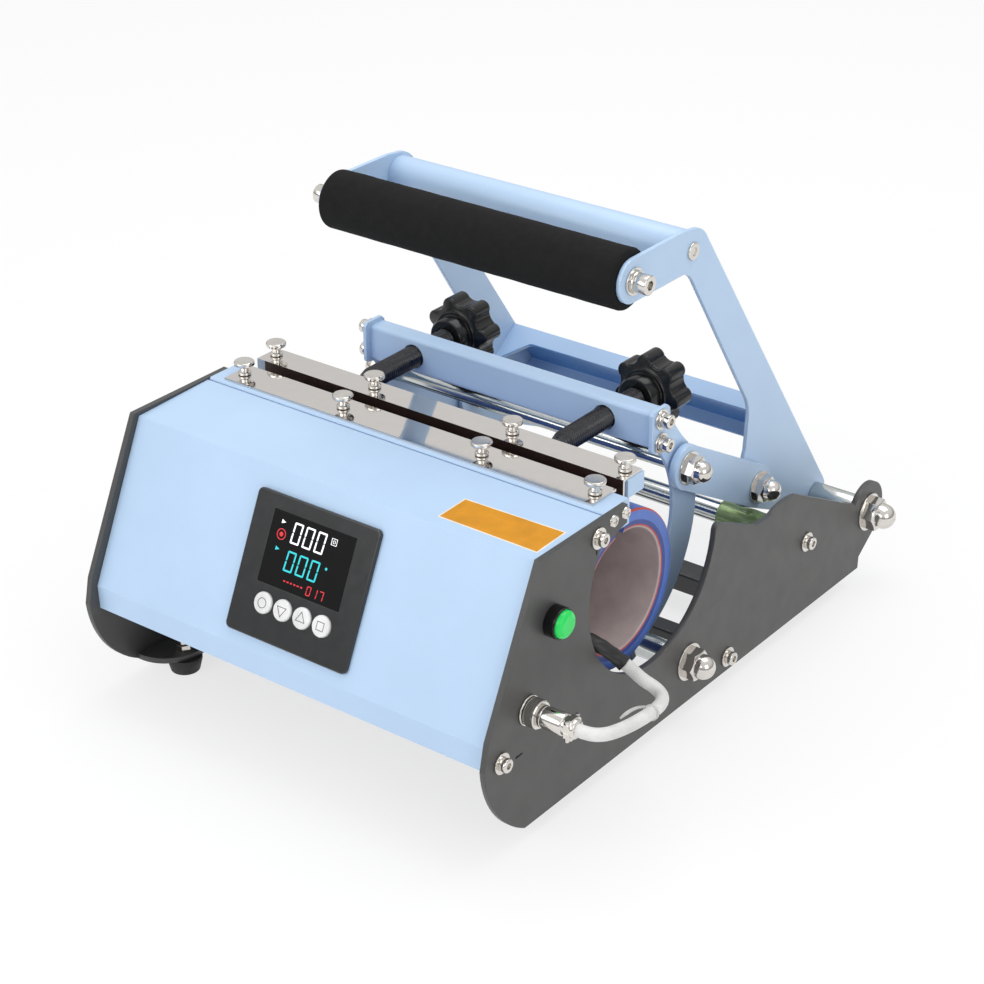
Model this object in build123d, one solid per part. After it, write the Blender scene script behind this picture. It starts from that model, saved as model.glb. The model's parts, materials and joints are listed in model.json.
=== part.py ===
from build123d import *
import math
import os

os.makedirs("parts", exist_ok=True)

# Tumbler heat press. X runs across the machine, Y to its rear, Z up.
# Everything is drawn from the middle of the cradle cut-out in depth (y = 0) and from the
# lower edge of the side plates in height (z = 0). save() sets it on its feet, with the
# origin under the middle of the footprint.

# ---------------------------------------------------------------- driving dimensions (mm)
# side plates
plate_span = 330.0            # over the outer faces of the two plates
plate_t = 4.0
plate_front = -174.0          # foremost point of a plate
plate_rear = 297.5            # rearmost point of a plate's ear
plate_top = 178.5
plate_kink_z = 78.0           # where the upright front edge starts to lean back
crease_y = -121.0             # where the leaning front edge meets the level top
flange_w = 34.0               # bottom flange, bent inward
flange_front = -135.0
flange_rear = 257.5
flange_corner_r = 28.0
foot_h = 11.0
foot_top_r = 12.0
foot_base_r = 10.0
foot_inset = 21.0             # foot axis in from a plate's inner face
foot_front_y = -112.0
foot_rear_y = 238.0
foot_stud_top = 28.0

# cradle cut-out and heating mat
cradle_z = 121.4
cradle_r = 70.7
cradle_lip_y = -32.0          # the cut-out's upright front edge
mat_y = -12.0
mat_z = 104.0
mat_bore_r = 41.0
mat_t = 11.6
lining_t = 1.4
mat_hem = 2.4                 # the mat's two clamped edges

# front casing
sheet_t = 1.5
casing_lip_z = 54.0
casing_kink = (-166.1, 70.9)
casing_crease = (-117.2, 175.6)
casing_back = (-52.3, 177.5)
shield_y = -72.0              # rear wall of the electrics box
shield_lip = 14.0             # shield's top flange, forward

# controller
control_w = 99.0
control_h = 92.0
control_x = 1.3
control_up = 55.0             # centre, measured up the panel from the kink
control_proud = 3.0
control_body_w = 88.0
control_body_h = 82.0
control_body_d = 38.0
window_w = 66.0
window_h = 46.5
window_up = 12.7              # window centre above the controller's centre
window_t = 1.2
button_r = 7.0
button_pitch = 15.9
button_up = -22.7
button_stem = 4.5
button_travel = 1.2

# electrics on the bottom cover
relay_size = (58.0, 44.0, 24.0)
relay_at = (-81.0, -106.0)
terminal_size = (72.0, 22.0, 18.0)
terminal_at = (56.0, -99.0)
terminal_count = 6

# clamps
clamp_end_gap = 15.0          # plate's outer face to the strips' and the mat's ends
bar_over = 1.0                # the rear bar's reach past the strips
front_bar = (-50.5, -24.0, 160.5, 178.5)     # y from, y to, z from, z to
rear_bar = (-11.0, 6.5, 168.8, 181.0)
strip_t = 1.6
front_strip_rear = -22.5
strip_lip = 13.0
thumb_end = 6.9               # outer thumbscrews, in from the strips' ends
thumb_pitch = 86.4            # outer to inner thumbscrew
thumb_front_y = -35.0
thumb_rear_y = -3.1
thumb_r = 7.0
thumb_shank_r = 2.5
thumb_h = 9.6
thumb_front_depth = 17.0
thumb_rear_depth = 11.0

# linkage pivots (y, z), in the closed position
pivot_rear = (277.0, 42.0)
pivot_low = (43.0, 31.0)
pivot_mid = (184.0, 89.3)
pivot_arm = (93.5, 140.5)
side_room = 40.5              # plate's inner face to the arms' outer face
arm_t = 3.0
link_t = 5.0
link_half_w = 15.2
link_end_r = 15.5
link_spacer_t = 2.0           # washer between an arm and its link
link_spacer_r = 10.0
run_gap = 0.3                 # between flat parts that slide past each other
pin_gap = 0.06                # radial, around a pivot
rear_rod_r = 7.0
low_rod_r = 6.0
arm_rod_r = 5.0
mid_bolt_r = 5.0
spacer_wall = 2.5

# handle
handle_top = (100.5, 288.0)   # cross tube axis
grip_at = (34.6, 289.6)
tube_r = 12.5
tube_wall = 1.5
foam_r = 20.0
grip_rod_r = 6.0
elbow_r = 17.0
heel_r = 15.0
nose_r = 14.6
# front edge above the elbow: forward and up from the elbow's centre
handle_waist = [(9.5, 69.0), (5.6, 61.0), (4.6, 52.0), (6.5, 28.0), (10.5, 17.0)]
channel_web = 44.0
channel_from_heel = 99.0      # top of the channel, up the handle's rear edge
channel_depth = 13.0
channel_t = 3.0
gusset = 22.5

# swing frame
arm_centre = (20.5, 112.4)
arm_inner_r = 67.5
arm_outer_r = 95.0
arm_foot_r = 17.0             # round the low pivot
arm_rim = 4.6                 # an arm's reach in front of the beam
arm_top = 190.0
beam = (65.3, 80.5, 161.2, 186.8)            # y from, y to, z from, z to
beam_wall = 2.0
beam_corner_r = 2.6
screw_inset = 37.9            # pressure screws, in from the arms' inner faces
screw_z = 174.0
screw_r = 7.8
screw_rim_gap = 0.8           # around a screw in the beam's front wall
bush_r = 9.8
screw_tip_r = 2.2
knob_r = 26.0
knob_lobes = 7
knob_lobe_r = 5.5
knob_scallop_out = 2.6        # the scallops' centres, out from the lobes' tips
knob_turn = 6.0               # degrees
knob_t = 18.5
knob_hub_r = 14.0
knob_hub_t = 12.0
knob_front_y = 100.8          # front face of the hub

# rods and bars low in the base
bumper_run = 20.0             # rod's distance from the elbow, along the elbow's foot
bumper_r = 7.5
sleeve_wall = 3.0
sleeve_len = 52.0
sleeve_room = 12.0            # plate's inner face to the sleeve
bar_low = (84.0, 98.5)        # y from, y to
bar_back = (155.0, 175.0)
bar_h = 14.5

# plug and lead of the heating mat
plug_at = (-131.8, 83.2)
plug_len = 36.0               # from the plate's outer face to the lead
plug_ring_r = 9.2
plug_ring_from = 1.6
plug_ring_to = 10.0
plug_shell_r = 7.1
plug_shell_to = 26.0
plug_neck_r = 6.2
plug_clamp = (5.0, 14.6, 6.0)
socket_r = 7.8
socket_flange_r = 9.8
lead_r = 4.2
boot_r = 5.2
boot_points = 2               # the boot covers this many of the route's last runs

# power button
power_at = (-107.8, 133.4)
power_r = 8.9
power_stem_r = 5.5
power_proud = 11.8
power_travel = 2.0
power_gap = 0.3               # between the button and its collar
button_cap_h = 7.6            # lens cap of the power button
bezel_r = 10.2
bezel_h = 8.0
power_thread = 2.0            # collar's rim over its threaded neck
power_neck = 8.0              # neck's reach behind the plate's outer face
power_body_len = 22.0
power_nut_over = 1.5

# fasteners
casing_screw = (2.5, 4.6, 4.6, 14.0)         # shank radius, head radius, head height, length
rod_screw = (3.0, 4.6, 4.6, 14.0)
arm_screw = (3.0, 4.8, 5.0, 18.0)
tube_screw = (4.0, 6.0, 1.6, 22.0)
grip_bolt = (4.0, 6.5, 8.5, 24.0)
bar_screw = (2.0, 4.2, 2.0, 12.0)
inlet_bolt = (1.5, 2.8, 1.4, 6.5)
foot_screw_head_r = 5.4
foot_nut_flats = 10.0
foot_nut_h = 5.0
rear_nut = (21.0, 20.0)                      # across flats, height
low_nut = (19.0, 18.5)
link_nut = (17.0, 16.0)
washer_t = 1.5
rear_washer_r = 14.0
low_washer_r = 13.0
link_washer_r = 11.5
screw_washer_r = 7.0
grip_washer_r = 9.0
spring_washer = (5.4, 1.8)                   # radius, thickness
grip_collar = (7.4, 2.5)
rod_end = 7.0                                # a pivot rod's reach into its cap nut
stub_end = 6.0
link_head = (8.5, 6.0)                       # elbow bolt's head: radius, height
tap_gap = 1.0                                # a blind hole's depth past its screw
thread_gap = 0.1                             # radial, between a shank and its hole
fit_gap = 0.05                               # radial, between a rod and what it carries
lug_len = 14.0
lug_half = 6.0
casing_screws = [(-62.8, 168.6), (-158.5, 59.9)]
bar_screws = [(-46.4, 172.9), (-33.7, 173.0)]

# mains inlet
inlet_w = 48.0
inlet_h = 28.0
inlet_y = -112.0
inlet_z = 90.0
inlet_d = 26.0
inlet_screw = 20.5            # inlet's screws, each side of its middle

# ------------------------------------------------------------------- derived sizes
plate_out = plate_span / 2
plate_in = plate_out - plate_t
strip_half = plate_out - clamp_end_gap
mat_len = 2 * strip_half
bar_half = strip_half + bar_over
thumb_outer = strip_half - thumb_end
thumb_inner = thumb_outer - thumb_pitch
thumb_xs = (-thumb_outer, -thumb_inner, thumb_inner, thumb_outer)
arm_out = plate_in - side_room
arm_in = arm_out - arm_t
screw_x = arm_in - screw_inset
link_in = arm_out + run_gap + link_spacer_t
link_out = link_in + link_t
inner_half = plate_in                        # half the room between the plates
mat_outer_r = mat_bore_r + lining_t + mat_t
hem_front = front_bar[1] + 0.1               # front face of the mat's front edge
hem_rear = rear_bar[0] - mat_hem             # front face of the mat's rear edge
sleeve_r = bumper_r + sleeve_wall
link_run = math.dist(pivot_mid, pivot_rear)
link_along = ((pivot_rear[0] - pivot_mid[0]) / link_run, (pivot_rear[1] - pivot_mid[1]) / link_run)
link_down = (link_along[1], -link_along[0])
bumper_drop = elbow_r + (heel_r - elbow_r) * bumper_run / link_run + run_gap + sleeve_r
bumper_at = (pivot_mid[0] + bumper_run * link_along[0] + bumper_drop * link_down[0],
             pivot_mid[1] + bumper_run * link_along[1] + bumper_drop * link_down[1])
handle_crown = (handle_top[0] + 17.5, handle_top[1] + 4.0)
deck_z = casing_lip_z + 1.0 + sheet_t        # upper face of the bottom cover
footprint_mid = (plate_front + plate_rear) / 2
lean = math.atan2(casing_crease[1] - casing_kink[1], casing_crease[0] - casing_kink[0])
casing_screw_r, rod_screw_r, arm_screw_r = casing_screw[0], rod_screw[0], arm_screw[0]
handle_screw_r, grip_bolt_r, bar_screw_r = tube_screw[0], grip_bolt[0], bar_screw[0]
arm_screws = [(beam[0] + 4.9, beam[3] - 4.2), (beam[0] + 4.9, beam[2] + 4.6)]
low_bar_mid = ((bar_low[0] + bar_low[1]) / 2, plate_t + bar_h / 2)
back_bar_mid = ((bar_back[0] + bar_back[1]) / 2, plate_t + bar_h / 2)
plug_x = plate_out + plug_len

# the lead's route, from the plug round to the mat's end
lead_route = [
    (plug_x, *plug_at), (plug_x + 8.0, *plug_at),
    (plate_out + 50.5, -125.0, 82.0), (plate_out + 52.0, -111.0, 78.8), (plate_out + 51.0, -92.0, 74.3),
    (plate_out + 48.5, -73.0, 70.0), (plate_out + 45.0, -57.5, 66.2), (plate_out + 39.5, -47.0, 64.8),
    (plate_out + 32.0, -43.6, 66.3), (plate_out + 23.0, -44.8, 69.3), (plate_out + 13.5, -42.5, 71.8),
    (strip_half + 20.0, -45.0, 78.0), (strip_half + 10.0, -56.0, 91.0), (strip_half, -56.0, 91.0),
]


# ------------------------------------------------------------------- helpers
def save(name, *pieces):
    """Writes one node, set on its feet with the origin under the footprint's middle."""
    place = Pos(0, -footprint_mid, foot_h)
    solids = [solid for piece in pieces for solid in (place * piece).solids()]
    export_step(solids[0] if len(solids) == 1 else Compound(solids), f"parts/{name}.step")


def outline(start, *steps):
    """A face from a chain of (y, z) points; a pair of points is an arc's middle and end."""
    edges = []
    at = start
    for step in steps:
        if isinstance(step[0], tuple):
            edges.append(ThreePointArc(at, step[0], step[1]))
            at = step[1]
        else:
            edges.append(Line(at, step))
            at = step
    if at != start:
        edges.append(Line(at, start))
    return make_face(edges)


def slab(face, x_from, x_to):
    """A face drawn in (y, z) made solid between two stations across the machine."""
    return Pos(x_from, 0, 0) * extrude(Plane.YZ * face, amount=x_to - x_from)


def block(x_from, x_to, y_from, y_to, z_from, z_to):
    size = (x_to - x_from, y_to - y_from, z_to - z_from)
    middle = ((x_from + x_to) / 2, (y_from + y_to) / 2, (z_from + z_to) / 2)
    return Pos(*middle) * Box(*size)


def rod_x(at, radius, x_from, x_to):
    """A round bar along X through the point at = (y, z)."""
    return slab(Pos(*at) * Circle(radius), x_from, x_to)


def rod_y(x, z, radius, y_from, y_to):
    return Pos(x, (y_from + y_to) / 2, z) * Rot(90, 0, 0) * Cylinder(radius, y_to - y_from)


def rod_z(x, y, radius, z_from, z_to):
    return Pos(x, y, (z_from + z_to) / 2) * Cylinder(radius, z_to - z_from)


def turned(profile, spot):
    """A solid of revolution: profile holds (radius, height) points; spot places its base."""
    face = make_face(Polyline(*profile, close=True))
    return spot * revolve(Plane.XZ * face, Axis.Z)


def facing(side, x, at):
    """A place on a plane across X, with local Z pointing outward to the side."""
    return Plane(origin=(side * x, at[0], at[1]), x_dir=(0, 1, 0), z_dir=(side, 0, 0)).location


def both(make):
    """Builds the same thing for the right (+1) and the left (-1) side."""
    return [make(1), make(-1)]


def mirrored(shape):
    return mirror(shape, about=Plane.YZ)


def away(centre, radius, degrees):
    angle = math.radians(degrees)
    return (centre[0] + radius * math.cos(angle), centre[1] + radius * math.sin(angle))


def washer(bore, radius, thickness):
    return Pos(0, 0, thickness / 2) * (Cylinder(radius, thickness) - Cylinder(bore, thickness))


def cap_nut(bore, flats, height):
    """A domed hexagon nut on its base at z = 0, with a blind bore."""
    hex_h = 0.45 * height
    corner_r = flats / math.sqrt(3)
    edge = 0.12 * flats
    turned_blank = turned([(0, 0), (corner_r, 0), (corner_r, hex_h - 0.5 * edge), (corner_r - edge, hex_h),
                           (0, hex_h)], Location())
    hexagon = extrude(RegularPolygon(flats / 2, 6, major_radius=False), amount=hex_h) & turned_blank
    dome_r = 0.44 * flats
    rise = height - dome_r
    dome = Pos(0, 0, rise / 2) * Cylinder(dome_r, rise) + Pos(0, 0, rise) * Sphere(dome_r)
    blind = Pos(0, 0, 0.3 * height) * Cylinder(bore, 0.6 * height)
    return hexagon + (dome & Pos(0, 0, height / 2) * Box(2 * flats, 2 * flats, height)) - blind


def socket_screw(shank_r, head_r, head_h, length):
    """A cap screw with its head on z = 0 and its shank below."""
    head = chamfer((Pos(0, 0, head_h / 2) * Cylinder(head_r, head_h)).edges().group_by(Axis.Z)[-1], 0.6)
    key = extrude(Pos(0, 0, head_h) * RegularPolygon(0.42 * head_r * 1.2, 6), amount=-0.55 * head_h)
    return head + Pos(0, 0, -length / 2) * Cylinder(shank_r, length) - key


def flat_screw(shank_r, head_r, head_h, length):
    """A low crosshead screw with its head on z = 0 and its shank below."""
    head = turned([(0, 0), (head_r, 0), (head_r * 0.8, head_h * 0.7), (0, head_h)], Location())
    slot = Box(head_r * 1.1, head_r * 0.24, head_h) + Box(head_r * 0.24, head_r * 1.1, head_h)
    return head + Pos(0, 0, -length / 2) * Cylinder(shank_r, length) - Pos(0, 0, head_h) * slot


def thickened(points, t):
    """A sheet's section: the outer line (y, z), with its thickness to the right of travel."""
    normals = []
    for a, b in zip(points, points[1:]):
        run = math.dist(a, b)
        normals.append(((b[1] - a[1]) / run, -(b[0] - a[0]) / run))
    inner = []
    for i, point in enumerate(points):
        n1 = normals[max(i - 1, 0)]
        n2 = normals[min(i, len(normals) - 1)]
        share = t / (1 + n1[0] * n2[0] + n1[1] * n2[1])
        inner.append((point[0] + (n1[0] + n2[0]) * share, point[1] + (n1[1] + n2[1]) * share))
    return make_face(Polyline(*points, *reversed(inner), close=True))


# ------------------------------------------------------------------- base
def plate_face():
    """One side plate in (y, z): cradle cut-out, sloped rear top and the ear of the rear pivot."""
    ear_r = plate_rear - pivot_rear[0] + 1.0
    ear = (plate_rear - ear_r, pivot_rear[1] + 1.5)
    front_lobe = away((0, cradle_z), cradle_r, 147)
    rear_edge = away((0, cradle_z), cradle_r, -5)
    face = outline(
        (plate_front + 39.3, 0),
        ((plate_front + 15.5, 20.0), (plate_front, 60.0)),
        (plate_front + 4.0, plate_kink_z),
        (crease_y, plate_top),
        (cradle_lip_y, plate_top),
        (cradle_lip_y, plate_top - 12.5),
        front_lobe,
        (away((0, cradle_z), cradle_r, -90), rear_edge),
        ((rear_edge[0] + 1.8, rear_edge[1] + 3.2), (rear_edge[0] + 6.0, rear_edge[1] + 3.5)),
        (122.0, 97.5),
        (140.0, 97.0),
        ((157.0, 100.6), (175.0, 98.0)),
        (225.0, 72.0),
        (246.0, 61.3),
        ((251.0, 59.6), (ear[0] - 0.86 * ear_r, ear[1] + 0.51 * ear_r)),
        ((ear[0], ear[1] + ear_r), (ear[0] + ear_r, ear[1])),
        ((ear[0] + 0.97 * ear_r, ear[1] - 0.24 * ear_r), (ear[0] + 0.9 * ear_r, ear[1] - 0.44 * ear_r)),
        (plate_rear - 10.0, 23.0),
        (plate_rear - 29.5, 9.0),
        (plate_rear - 30.0, 0),
    )
    for at, radius in [(pivot_rear, rear_rod_r), (pivot_low, low_rod_r)]:
        face -= Pos(*at) * Circle(radius + thread_gap)
    for at in casing_screws:
        face -= Pos(*at) * Circle(casing_screw_r + thread_gap)
    for at in bar_screws:
        face -= Pos(*at) * Circle(bar_screw_r + thread_gap)
    for at in [bumper_at, low_bar_mid]:
        face -= Pos(*at) * Circle(rod_screw_r + thread_gap)
    return face


def side_plate(side):
    """A plate with its bottom flange; the right one also takes the plug and the power button."""
    solid = slab(plate_face(), plate_in, plate_out)
    flange = block(plate_out - flange_w, plate_in, flange_front, flange_rear, 0, plate_t)
    corner = flange.edges().filter_by(Axis.Z).group_by(Axis.X)[0]
    flange = fillet(corner, flange_corner_r)
    for y in (foot_front_y, foot_rear_y):
        flange -= rod_z(plate_in - foot_inset, y, rod_screw_r + thread_gap, -1, plate_t + 1)
    solid += flange
    if side > 0:
        solid -= rod_x(plug_at, socket_r + thread_gap, plate_in - 1, plate_out + 1)
        solid -= rod_x(power_at, bezel_r - power_thread + thread_gap, plate_in - 1, plate_out + 1)
        return solid
    solid = mirrored(solid) - block(-plate_out - 1, -plate_in + 1, *inlet_box())
    for dy in (-inlet_screw, inlet_screw):
        solid -= rod_x((inlet_y + dy, inlet_z), inlet_bolt[0] + thread_gap, -plate_out - 1, -plate_in + 1)
    return solid


def foot(side, y):
    axis = Pos(side * (plate_in - foot_inset), y, -foot_h)
    return turned(
        [(rod_screw_r + 0.4, 3), (rod_screw_r + 0.4, foot_h), (foot_top_r, foot_h), (foot_top_r, foot_h - 3),
         (foot_base_r, 0), (foot_screw_head_r + 0.6, 0), (foot_screw_head_r + 0.6, 3)], axis)


def foot_screw(side, y):
    """Head inside the foot's recess, stud up through the flange into a nut."""
    x = side * (plate_in - foot_inset)
    head = rod_z(x, y, foot_screw_head_r, 0.6 - foot_h, 3 - foot_h)
    shank = rod_z(x, y, rod_screw_r, 3 - foot_h, foot_stud_top)
    hexagon = RegularPolygon(foot_nut_flats / 2, 6, major_radius=False)
    return head + shank + Pos(x, y, plate_t) * extrude(hexagon, amount=foot_nut_h)


def inlet_box():
    """The mains inlet's cut-out: y from, y to, z from, z to."""
    half_w, half_h = inlet_w / 2 - 7, inlet_h / 2 - 2
    return (inlet_y - half_w, inlet_y + half_w, inlet_z - half_h, inlet_z + half_h)


def mains_inlet():
    """A three-pin appliance inlet in the left plate."""
    y_from, y_to, z_from, z_to = inlet_box()
    body = block(-plate_out - 2, -plate_in + inlet_d, y_from + 0.2, y_to - 0.2, z_from + 0.2, z_to - 0.2)
    rim = block(-plate_out - 2.5, -plate_out, inlet_y - inlet_w / 2, inlet_y + inlet_w / 2,
                inlet_z - inlet_h / 2, inlet_z + inlet_h / 2)
    rim = fillet(rim.edges().filter_by(Axis.X), 4.0)
    for dy in (-inlet_screw, inlet_screw):
        rim -= rod_x((inlet_y + dy, inlet_z), inlet_bolt[0] + thread_gap, -plate_out - 3, -plate_out)
    well = block(-plate_out - 3, -plate_out + 14, y_from + 3, y_to - 3, z_from + 3.5, z_to - 3.5)
    solid = rim + body - well
    pins = [block(-plate_out - 1, -plate_out + 15, inlet_y + dy - 1, inlet_y + dy + 1,
                  inlet_z + dz - 2, inlet_z + dz + 2) for dy, dz in [(-7, -2), (0, 3), (7, -2)]]
    return solid + pins


def mains_screws():
    spots = [Pos(-plate_out - 2.5, inlet_y + dy, inlet_z) for dy in (-inlet_screw, inlet_screw)]
    return [spot * Rot(0, -90, 0) * flat_screw(*inlet_bolt) for spot in spots]


def casing_line():
    return [(casing_kink[0] + 0.8, casing_lip_z), casing_kink, casing_crease, casing_back,
            (casing_back[0], casing_back[1] - 8)]


def panel_plane(across, up):
    """A place on the sloping front panel, with local Z pointing out of it."""
    y = casing_kink[0] + up * math.cos(lean)
    z = casing_kink[1] + up * math.sin(lean)
    return Plane(origin=(across, y, z), x_dir=(1, 0, 0), z_dir=(0, -math.sin(lean), math.cos(lean))).location


def rounded_block(width, height, from_z, to_z, radius):
    return extrude(Pos(0, 0, from_z) * RectangleRounded(width, height, radius), amount=to_z - from_z)


def front_casing():
    """The bent front and top sheet, with four lugs that its screws thread into."""
    half = inner_half - 0.2
    solid = slab(thickened(casing_line(), sheet_t), -half, half)
    solid -= panel_plane(control_x, control_up) * Box(control_body_w + 1, control_body_h + 1, 12)
    for side in (1, -1):
        for at in casing_screws:
            rear_y = at[0] + lug_half
            if at[1] > (deck_z + casing_crease[1]) / 2:
                top = casing_top(at[0]) - sheet_t
                lug = block(half - lug_len, half, at[0] - lug_half, rear_y, at[1] - lug_half, top)
            else:
                front_y = casing_kink[0] + sheet_t + 0.4
                top = at[1] + lug_half
                lug = block(half - lug_len, half - sheet_t - 0.2, front_y, rear_y, deck_z, top)
            lug -= rod_x(at, casing_screw_r + thread_gap, half - lug_len - 1, half + 1)
            solid += lug if side > 0 else mirrored(lug)
    return solid


def casing_top(y):
    """Outer height of the casing's top panel at a given y."""
    share = (y - casing_crease[0]) / (casing_back[0] - casing_crease[0])
    return casing_crease[1] + share * (casing_back[1] - casing_crease[1])


def heat_shield():
    """The electrics box's rear wall, bent forward at its top under the casing."""
    lip_y = shield_y - shield_lip
    top = casing_top(lip_y) - sheet_t - 0.2
    line = [(lip_y, top), (shield_y, top), (shield_y, deck_z)]
    return slab(thickened(line, sheet_t), -inner_half + 0.3, inner_half - 0.3)


def bottom_cover():
    """Closes the electrics box from below; a tab at each side is held by a casing screw."""
    half = inner_half - 0.1
    front_y = casing_kink[0] + 0.8 + sheet_t + 0.3
    cover = block(-half, half, front_y, shield_y, deck_z - sheet_t, deck_z)
    screw_at = casing_screws[1]
    for side in (1, -1):
        tab = block(half - sheet_t, half, front_y, screw_at[0] + 9, deck_z - sheet_t, screw_at[1] + 6)
        tab -= rod_x(screw_at, casing_screw_r + thread_gap, half - sheet_t - 1, half + 1)
        cover += tab if side > 0 else mirrored(tab)
    return cover


def front_channel_bar():
    y_from, y_to, z_from, z_to = front_bar
    bar = block(-inner_half, inner_half, y_from, y_to, z_from, z_to)
    bar = chamfer(bar.edges().filter_by(Axis.X).group_by(Axis.Z)[-1], 1.2)
    for side in (1, -1):
        for at in bar_screws:
            hole = rod_x(at, bar_screw_r + thread_gap, plate_out - bar_screw[3] - tap_gap, inner_half + 1)
            bar -= hole if side > 0 else mirrored(hole)
    for x in thumb_xs:
        bar -= rod_z(x, thumb_front_y, thumb_shank_r + pin_gap, z_from + 1.5, z_to + 1)
    return bar


def front_clamp_strip():
    top = front_bar[3]
    strip = block(-strip_half, strip_half, front_bar[0] + 3, front_strip_rear, top, top + strip_t)
    for x in thumb_xs:
        strip -= rod_z(x, thumb_front_y, thumb_shank_r + pin_gap, top - 1, top + strip_t + 1)
    return strip


def thumbscrew(x, y, seat, depth):
    """A waisted thumbscrew on a strip: foot flange, waist, broad flat head, shank below."""
    profile = [(0, -depth), (thumb_shank_r, -depth), (thumb_shank_r, 0), (4.4, 0), (4.4, 1.6), (3.1, 2.4),
               (3.1, 5.0), (4.2, 6.0), (thumb_r - 0.6, 6.4), (thumb_r, 7.0), (thumb_r, thumb_h - 0.8),
               (thumb_r - 0.8, thumb_h), (0, thumb_h)]
    return turned(profile, Pos(x, y, seat))


def mat_ring(inner, outer):
    """A ring of the mat, open at its top between the two clamped edges."""
    mouth = outline((hem_front + mat_hem, mat_z), (hem_rear, mat_z), (hem_rear, plate_top),
                    (hem_front + mat_hem, plate_top))
    return slab(Pos(mat_y, mat_z) * (Circle(outer) - Circle(inner)) - mouth, -mat_len / 2, mat_len / 2)


def heating_mat():
    """The silicone mat: a ring whose edges rise behind the front bar and below the rear bar."""
    half = mat_len / 2
    root_z = mat_z + mat_outer_r - mat_t / 2
    ring = mat_ring(mat_bore_r + lining_t, mat_outer_r)
    front_hem = block(-half, half, hem_front, hem_front + mat_hem, root_z - 2, front_bar[3] - 0.2)
    rear_hem = block(-half, half, hem_rear, hem_rear + mat_hem, root_z, rear_bar[2] - 2 * run_gap)
    return ring + front_hem + rear_hem


def power_bezel():
    """The button's collar, with its threaded neck through the plate."""
    bore, neck_bore, neck = power_r + power_gap, power_stem_r + power_gap, bezel_r - power_thread
    seat = power_proud - button_cap_h - power_travel - power_gap
    profile = [(neck_bore, -power_neck), (neck, -power_neck), (neck, 0), (bezel_r, 0),
               (bezel_r, bezel_h - 0.8), (bezel_r - 0.4, bezel_h), (bore, bezel_h), (bore, seat),
               (neck_bore, seat)]
    return turned(profile, facing(1, plate_out, power_at))


def power_button():
    """A lens cap on a stem."""
    cap_from = power_proud - button_cap_h
    foot_at = power_travel + 1.0 - power_neck
    profile = [(0, foot_at), (power_stem_r, foot_at), (power_stem_r, cap_from), (power_r, cap_from),
               (power_r, power_proud - 2.6), (power_r - 0.9, power_proud - 1.0), (power_r - 3.0, power_proud),
               (0, power_proud)]
    return turned(profile, facing(1, plate_out, power_at))


def power_switch_body():
    """The switch behind the button, clamped on the collar's neck."""
    place = facing(1, plate_out, power_at)
    neck = bezel_r - power_thread
    back = -power_neck - power_body_len
    shell = turned([(0, back), (neck - 0.5, back), (neck - 0.5, -power_neck), (0, -power_neck)], place)
    nut_r, nut_bore = bezel_r + power_nut_over, neck + fit_gap
    nut = turned([(nut_bore, 0.5 - power_neck), (nut_r, 0.5 - power_neck), (nut_r, -plate_t),
                  (nut_bore, -plate_t)], place)
    return [shell, nut]


def panel_socket():
    """The four-pin panel socket that the mat's plug screws on to."""
    nose, flange_t = plug_shell_r - 0.2, plug_ring_from - 0.1
    profile = [(0, -16), (6.2, -16), (6.2, -10), (socket_r, -10), (socket_r, 0), (socket_flange_r, 0),
               (socket_flange_r, flange_t), (nose, flange_t), (nose, plug_ring_to - 1.0),
               (0, plug_ring_to - 1.0)]
    return turned(profile, facing(1, plate_out, plug_at))


def plug_ring():
    bore, start, end = plug_shell_r - 0.1, plug_ring_from, plug_ring_to
    profile = [(bore, start), (plug_ring_r - 0.5, start), (plug_ring_r, start + 0.6),
               (plug_ring_r, end - 0.6), (plug_ring_r - 0.6, end), (bore, end)]
    return turned(profile, facing(1, plate_out, plug_at))


def plug_body():
    """Plug shell behind the ring, narrowing to the cable clamp."""
    start, end = plug_ring_to - 0.8, plug_len
    profile = [(0, start), (plug_shell_r - 0.2, start), (plug_shell_r - 0.2, plug_ring_to + 0.1),
               (plug_shell_r, plug_ring_to + 0.1), (plug_shell_r, plug_shell_to),
               (plug_neck_r, plug_shell_to + 1.0), (plug_neck_r, end - 0.6), (plug_neck_r - 0.6, end),
               (0, end)]
    clamp = Pos(0, 0, end - plug_clamp[2] / 2 - 1.5) * Box(*plug_clamp)
    shell = turned(profile, Location()) + clamp
    return facing(1, plate_out, plug_at) * shell


def route_radii(points):
    """The bend radius at each inner point of a cord's route."""
    radii = []
    for a, b, c in zip(points, points[1:], points[2:]):
        first = Vector(*b) - Vector(*a)
        second = Vector(*c) - Vector(*b)
        turn = first.get_angle(second)
        shorter = min(first.length, second.length)
        radii.append(0.45 * shorter / math.tan(math.radians(turn) / 2))
    return radii


def cord_path(points, radii):
    return FilletPolyline(*points, radius=radii)


def boot_path():
    """The last runs of the lead's own path, from the middle of a run to the mat."""
    first, second = lead_route[-boot_points - 2:-boot_points]
    middle = tuple((a + b) / 2 for a, b in zip(first, second))
    return cord_path([middle, *lead_route[-boot_points - 1:]], route_radii(lead_route)[-boot_points:])


def cord_tube(path, outer, inner=0.0):
    start = Plane(origin=path @ 0, z_dir=path % 0)
    section = Circle(outer) - Circle(inner) if inner else Circle(outer)
    return sweep(start * section, path=path)


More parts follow.
